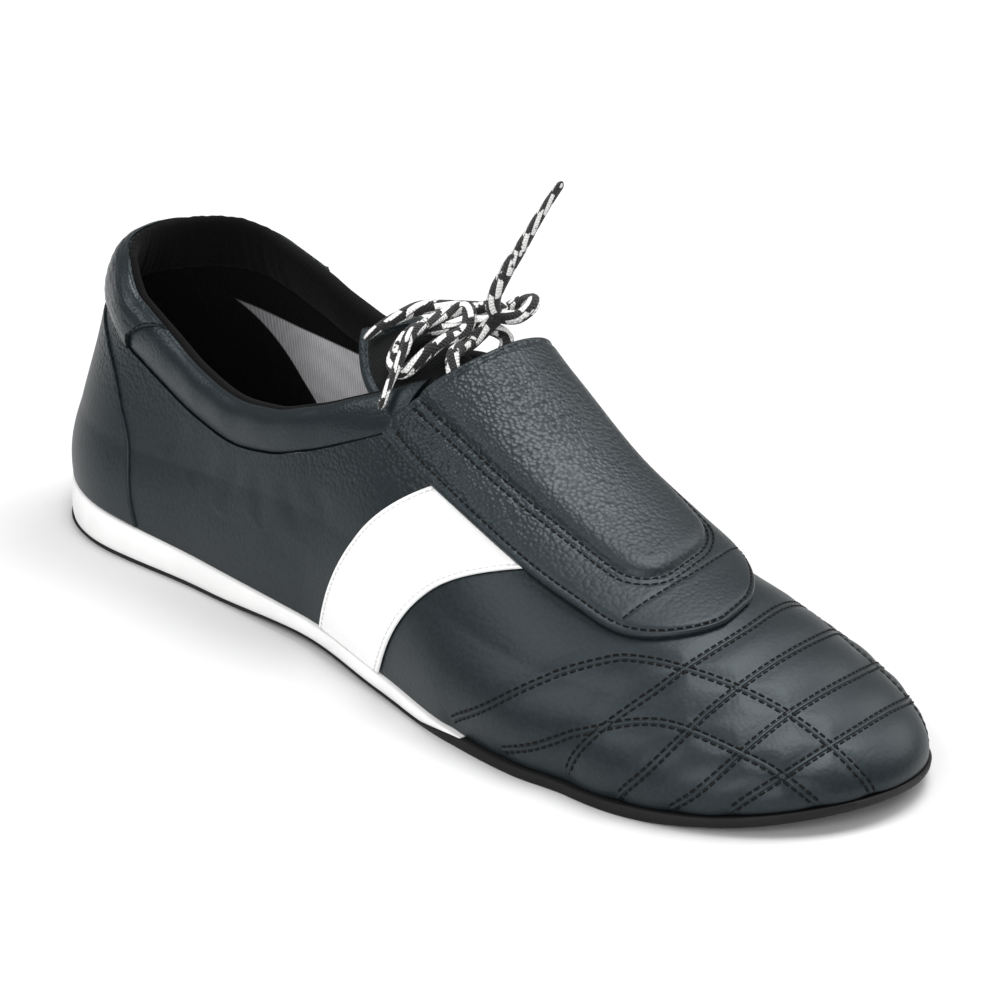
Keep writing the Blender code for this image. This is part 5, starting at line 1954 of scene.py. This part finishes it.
def braid_tube(name, route, replaced=(), up=None, flat=1.0, taper=0.0):
    """Braided cord along a route, pressed flat where it lies under the cover, thinner to its tip."""
    radius = sizes().lace * BRAID_FIT / 2
    points = smooth_line(route, LACE_RING_STEP)
    normal, across = cord_sides(tangents_of(points), up)
    lengths = path_lengths(points)
    turn = np.arange(LACE_SIDES) * 2 * np.pi / LACE_SIDES
    end = np.minimum(lengths, lengths[-1] - lengths)
    body = radius * np.sqrt(np.clip(1 - np.clip(1 - end / radius, 0, 1) ** 2, LACE_END_LEAST, 1))
    body = body * (1 - taper * ease(lengths, lengths[-1] * LACE_TIP_START, lengths[-1]))
    block = (points[:, None, :] + (normal[:, None, :] * (flat * np.cos(turn))[None, :, None]
             + across[:, None, :] * np.sin(turn)[None, :, None]) * body[:, None, None])
    index = np.arange(block[..., 0].size).reshape(block.shape[:2])
    wrapped = np.concatenate([index, index[:, :1]], axis=1)
    quads = face_corners(wrapped).reshape(-1, 4)
    caps = [index[0][::-1].tolist(), index[-1].tolist()]
    data = bpy.data.meshes.new(name)
    data.from_pydata((block.reshape(-1, 3) + FRAME_SHIFT).tolist(), [], quads.tolist() + caps)
    braid_map(data, lengths)
    data.materials.append(lace_cord("Flecked Lace"))
    data.shade_smooth()
    piece = add_piece(name, data, replaced)
    return piece, points + FRAME_SHIFT, lengths[-1]


class SHOE_OT_lace(bpy.types.Operator):
    """Lace through the eyelets, tied in a bow over the tongue"""
    bl_idname = "shoe.lace"
    bl_label = "Lace"

    def execute(self, context):
        self.add_bars()
        self.add_bow()
        return {"FINISHED"}

    def add_bars(self):
        across, lift = np.array(BAR_ROWS).T
        for number, station in enumerate(BAR_STATIONS, 1):
            route = over(np.full(len(across), station), across, lift)
            up = crown_normal(np.array(station), np.array(0.0))
            braid_tube(f"lace_crossing_{number}", route, [f"lace_bar_{number}"], up, BAR_FLAT)
        rings = Solid()
        for station in (*BAR_STATIONS, TOP_EYELET):
            for side in (LATERAL, MEDIAL):
                self.add_eyelet(rings, station, side * EYELET_ACROSS)
        rings.make("eyelets", [moulded("Eyelet Enamel")], "upper_leather")

    def add_eyelet(self, solid, station, across):
        """Rolled ring around a lace hole."""
        centre = over(np.array(station), np.array(across), np.array(EYELET_LIFT))
        normal = crown_normal(np.array(station), np.array(across))
        first = unit(np.cross(normal, (1.0, 0.0, 0.0)))
        second = np.cross(normal, first)
        turn, section = (np.arange(steps) * 2 * np.pi / steps for steps in EYELET_STEPS)
        out = first[None, :] * np.cos(turn)[:, None] + second[None, :] * np.sin(turn)[:, None]
        reach = EYELET_RADIUS + EYELET_ROLL[0] * np.cos(section)
        rise = EYELET_ROLL[1] * np.sin(section)
        block = centre + out[:, None, :] * reach[None, :, None] + normal[None, None, :] * rise[None, :, None]
        solid.add_grid(block, close_along=True, close_across=True)

    def add_bow(self):
        self.add_cord("lace_standing_end", "bare", "limp", "loose", ["lace_end_up", "lace_loop_medial"], (
            on_tongue([(TOP_EYELET, -0.0076, 0.0024), (0.1395, -0.0060, 0.0030), (0.1350, -0.0020, 0.0046)]),
            by_knot([(0.0030, -0.0060, -0.0010), (0.0018, 0.0030, 0.0026), (-0.0012, 0.0090, 0.0022),
                     (-0.0002, 0.0116, 0.0036), (0.0030, 0.0130, 0.0054), (0.0060, 0.0118, 0.0060),
                     (0.0072, 0.0090, 0.0050), (0.0062, 0.0054, 0.0036), (0.0034, 0.0018, 0.0046),
                     (0.0036, 0.0008, 0.0092), (0.0068, 0.0016, 0.0162), (0.0112, 0.0028, 0.0238),
                     (0.0156, 0.0038, 0.0314), (0.0198, 0.0047, 0.0382), (0.0238, 0.0055, 0.0442)]),
        ))
        self.add_cord("lace_hanging_end", "bare", "limp", "loose", ["lace_loop_lateral", "lace_end_front"], (
            on_tongue([(TOP_EYELET, 0.0076, 0.0024), (0.1375, 0.0110, 0.0040)]),
            by_knot([(0.0040, 0.0044, -0.0022), (-0.0010, -0.0006, 0.0010), (-0.0030, -0.0066, 0.0006)]),
            on_tongue([(0.1246, -0.0040, 0.0044), (0.1236, -0.0095, 0.0028), (0.1248, -0.0142, 0.0026),
                       (0.1288, -0.0142, 0.0027), (0.1308, -0.0098, 0.0038), (0.1315, -0.0045, 0.0056)]),
            by_knot([(0.0018, -0.0072, 0.0022), (-0.0016, -0.0032, 0.0058), (-0.0050, -0.0064, 0.0046)]),
            on_tongue([(0.1262, -0.0070, 0.0080), (0.1280, -0.0118, 0.0074), (0.1292, -0.0150, 0.0072),
                       (0.1300, -0.0170, 0.0075), (0.1308, -0.0190, 0.0077), (0.1314, -0.0210, 0.0078)]),
        ))
        self.add_cord("lace_left_end", "bare", "limp", "loose", ["lace_end_back", "lace_knot"], (
            by_knot([(0.0036, 0.0040, 0.0040), (0.0000, 0.0052, 0.0048), (-0.0044, 0.0030, 0.0036)]),
            on_tongue([(0.1222, 0.0045, 0.0072), (0.1190, 0.0010, 0.0046), (0.1175, -0.0050, 0.0028),
                       (0.1158, -0.0100, 0.0025), (0.1135, -0.0150, 0.0025)]),
        ))

    def add_cord(self, name, far_end, stiffness, lay, replaced, stretches):
        piece, path, length = braid_tube(name, np.concatenate(stretches), replaced, taper=LACE_TIP_TAPER)
        tuple(path[0])


# Stage

class SHOE_OT_stage(bpy.types.Operator):
    """Pale floor, soft studio light and camera"""
    bl_idname = "shoe.stage"
    bl_label = "Stage"

    def execute(self, context):
        self.add_floor()
        self.add_lights(context)
        self.add_camera(context)
        return {"FINISHED"}

    def add_floor(self):
        data = bpy.data.meshes.new("floor")
        corners = [(x * FLOOR_REACH, y * FLOOR_REACH, 0) for x, y in ((-1, -1), (1, -1), (1, 1), (-1, 1))]
        data.from_pydata(corners, [], [(0, 1, 2, 3)])
        data.materials.append(floor_paper("Floor Paper"))
        floor = add_object("floor", data)

    def add_lights(self, context):
        stage = context.scene.shoe_stage
        context.scene.view_settings.view_transform = "Standard"
        world = bpy.data.worlds.new("Studio")
        world.use_nodes = True
        sky = world.node_tree.nodes["Background"]
        wire(world.node_tree, sky, {"Color": (1.0, 1.0, 1.0, 1.0), "Strength": stage.sky})
        context.scene.world = world
        for name, (size, place) in SOFTBOXES.items():
            self.add_softbox(name, getattr(stage, name), size, place)

    def add_softbox(self, name, power, size, place):
        """Square soft light that faces the shoe."""
        data = bpy.data.lights.new(name, "AREA")
        data.shape = "SQUARE"
        data.size = size
        data.energy = power
        back = unit(np.array(place) - np.array(LIGHT_AIM))
        add_object(name, data).matrix_world = self.looking(back, place, 0.0)

    def looking(self, back, place, roll_angle):
        """Matrix that looks against a direction."""
        right = unit(np.array((-back[1], back[0], 0.0)))
        up = np.cross(back, right)
        turned = right * math.cos(roll_angle) + up * math.sin(roll_angle)
        upright = up * math.cos(roll_angle) - right * math.sin(roll_angle)
        rows = [(*row, 0.0) for row in (turned, upright, back)] + [(*place, 1.0)]
        return Matrix(rows).transposed()

    def add_camera(self, context):
        azimuth = math.radians(CAMERA_AZIMUTH)
        elevation = math.radians(CAMERA_ELEVATION)
        flat = math.cos(elevation)
        back = np.array((math.sin(azimuth) * flat, -math.cos(azimuth) * flat, math.sin(elevation)))
        place = np.array(CAMERA_AIM) + FRAME_SHIFT + back * CAMERA_DISTANCE
        data = bpy.data.cameras.new("camera")
        data.sensor_width = CAMERA_SENSOR
        data.lens = CAMERA_LENS
        camera = add_object("camera", data)
        camera.matrix_world = self.looking(back, place, math.radians(CAMERA_ROLL))
        context.scene.camera = camera


STEPS = (SHOE_OT_sole, SHOE_OT_upper, SHOE_OT_collar, SHOE_OT_heel_panels, SHOE_OT_side_panels,
         SHOE_OT_tongue, SHOE_OT_lace_cover, SHOE_OT_lace, SHOE_OT_stage)


class SHOE_PT_panel(bpy.types.Panel):
    """Sizes, colours and steps of the shoe"""
    bl_idname = "SHOE_PT_panel"
    bl_label = "Taekwondo Shoe"
    bl_space_type = "VIEW_3D"
    bl_region_type = "UI"
    bl_category = "Shoe"

    def draw(self, context):
        scene = context.scene
        for group in (scene.shoe_sizes, scene.shoe_colours, scene.shoe_stage):
            box = self.layout.box()
            for name in group.__annotations__:
                box.prop(group, name)
        for step in STEPS:
            self.layout.operator(step.bl_idname)


CLASSES = (ShoeSizes, ShoeColours, ShoeStage, *STEPS, SHOE_PT_panel)


def register():
    for made in CLASSES:
        bpy.utils.register_class(made)
    bpy.types.Scene.shoe_sizes = bpy.props.PointerProperty(type=ShoeSizes)
    bpy.types.Scene.shoe_colours = bpy.props.PointerProperty(type=ShoeColours)
    bpy.types.Scene.shoe_stage = bpy.props.PointerProperty(type=ShoeStage)


def unregister():
    del bpy.types.Scene.shoe_stage
    del bpy.types.Scene.shoe_colours
    del bpy.types.Scene.shoe_sizes
    for made in reversed(CLASSES):
        bpy.utils.unregister_class(made)


def main():
    register()
    bpy.ops.shoe.stage()
    bpy.ops.shoe.lace()
    bpy.ops.shoe.sole()
    bpy.ops.shoe.upper()
    bpy.ops.shoe.collar()
    bpy.ops.shoe.heel_panels()
    bpy.ops.shoe.side_panels()
    bpy.ops.shoe.tongue()
    bpy.ops.shoe.lace_cover()


if __name__ == "__main__":
    main()
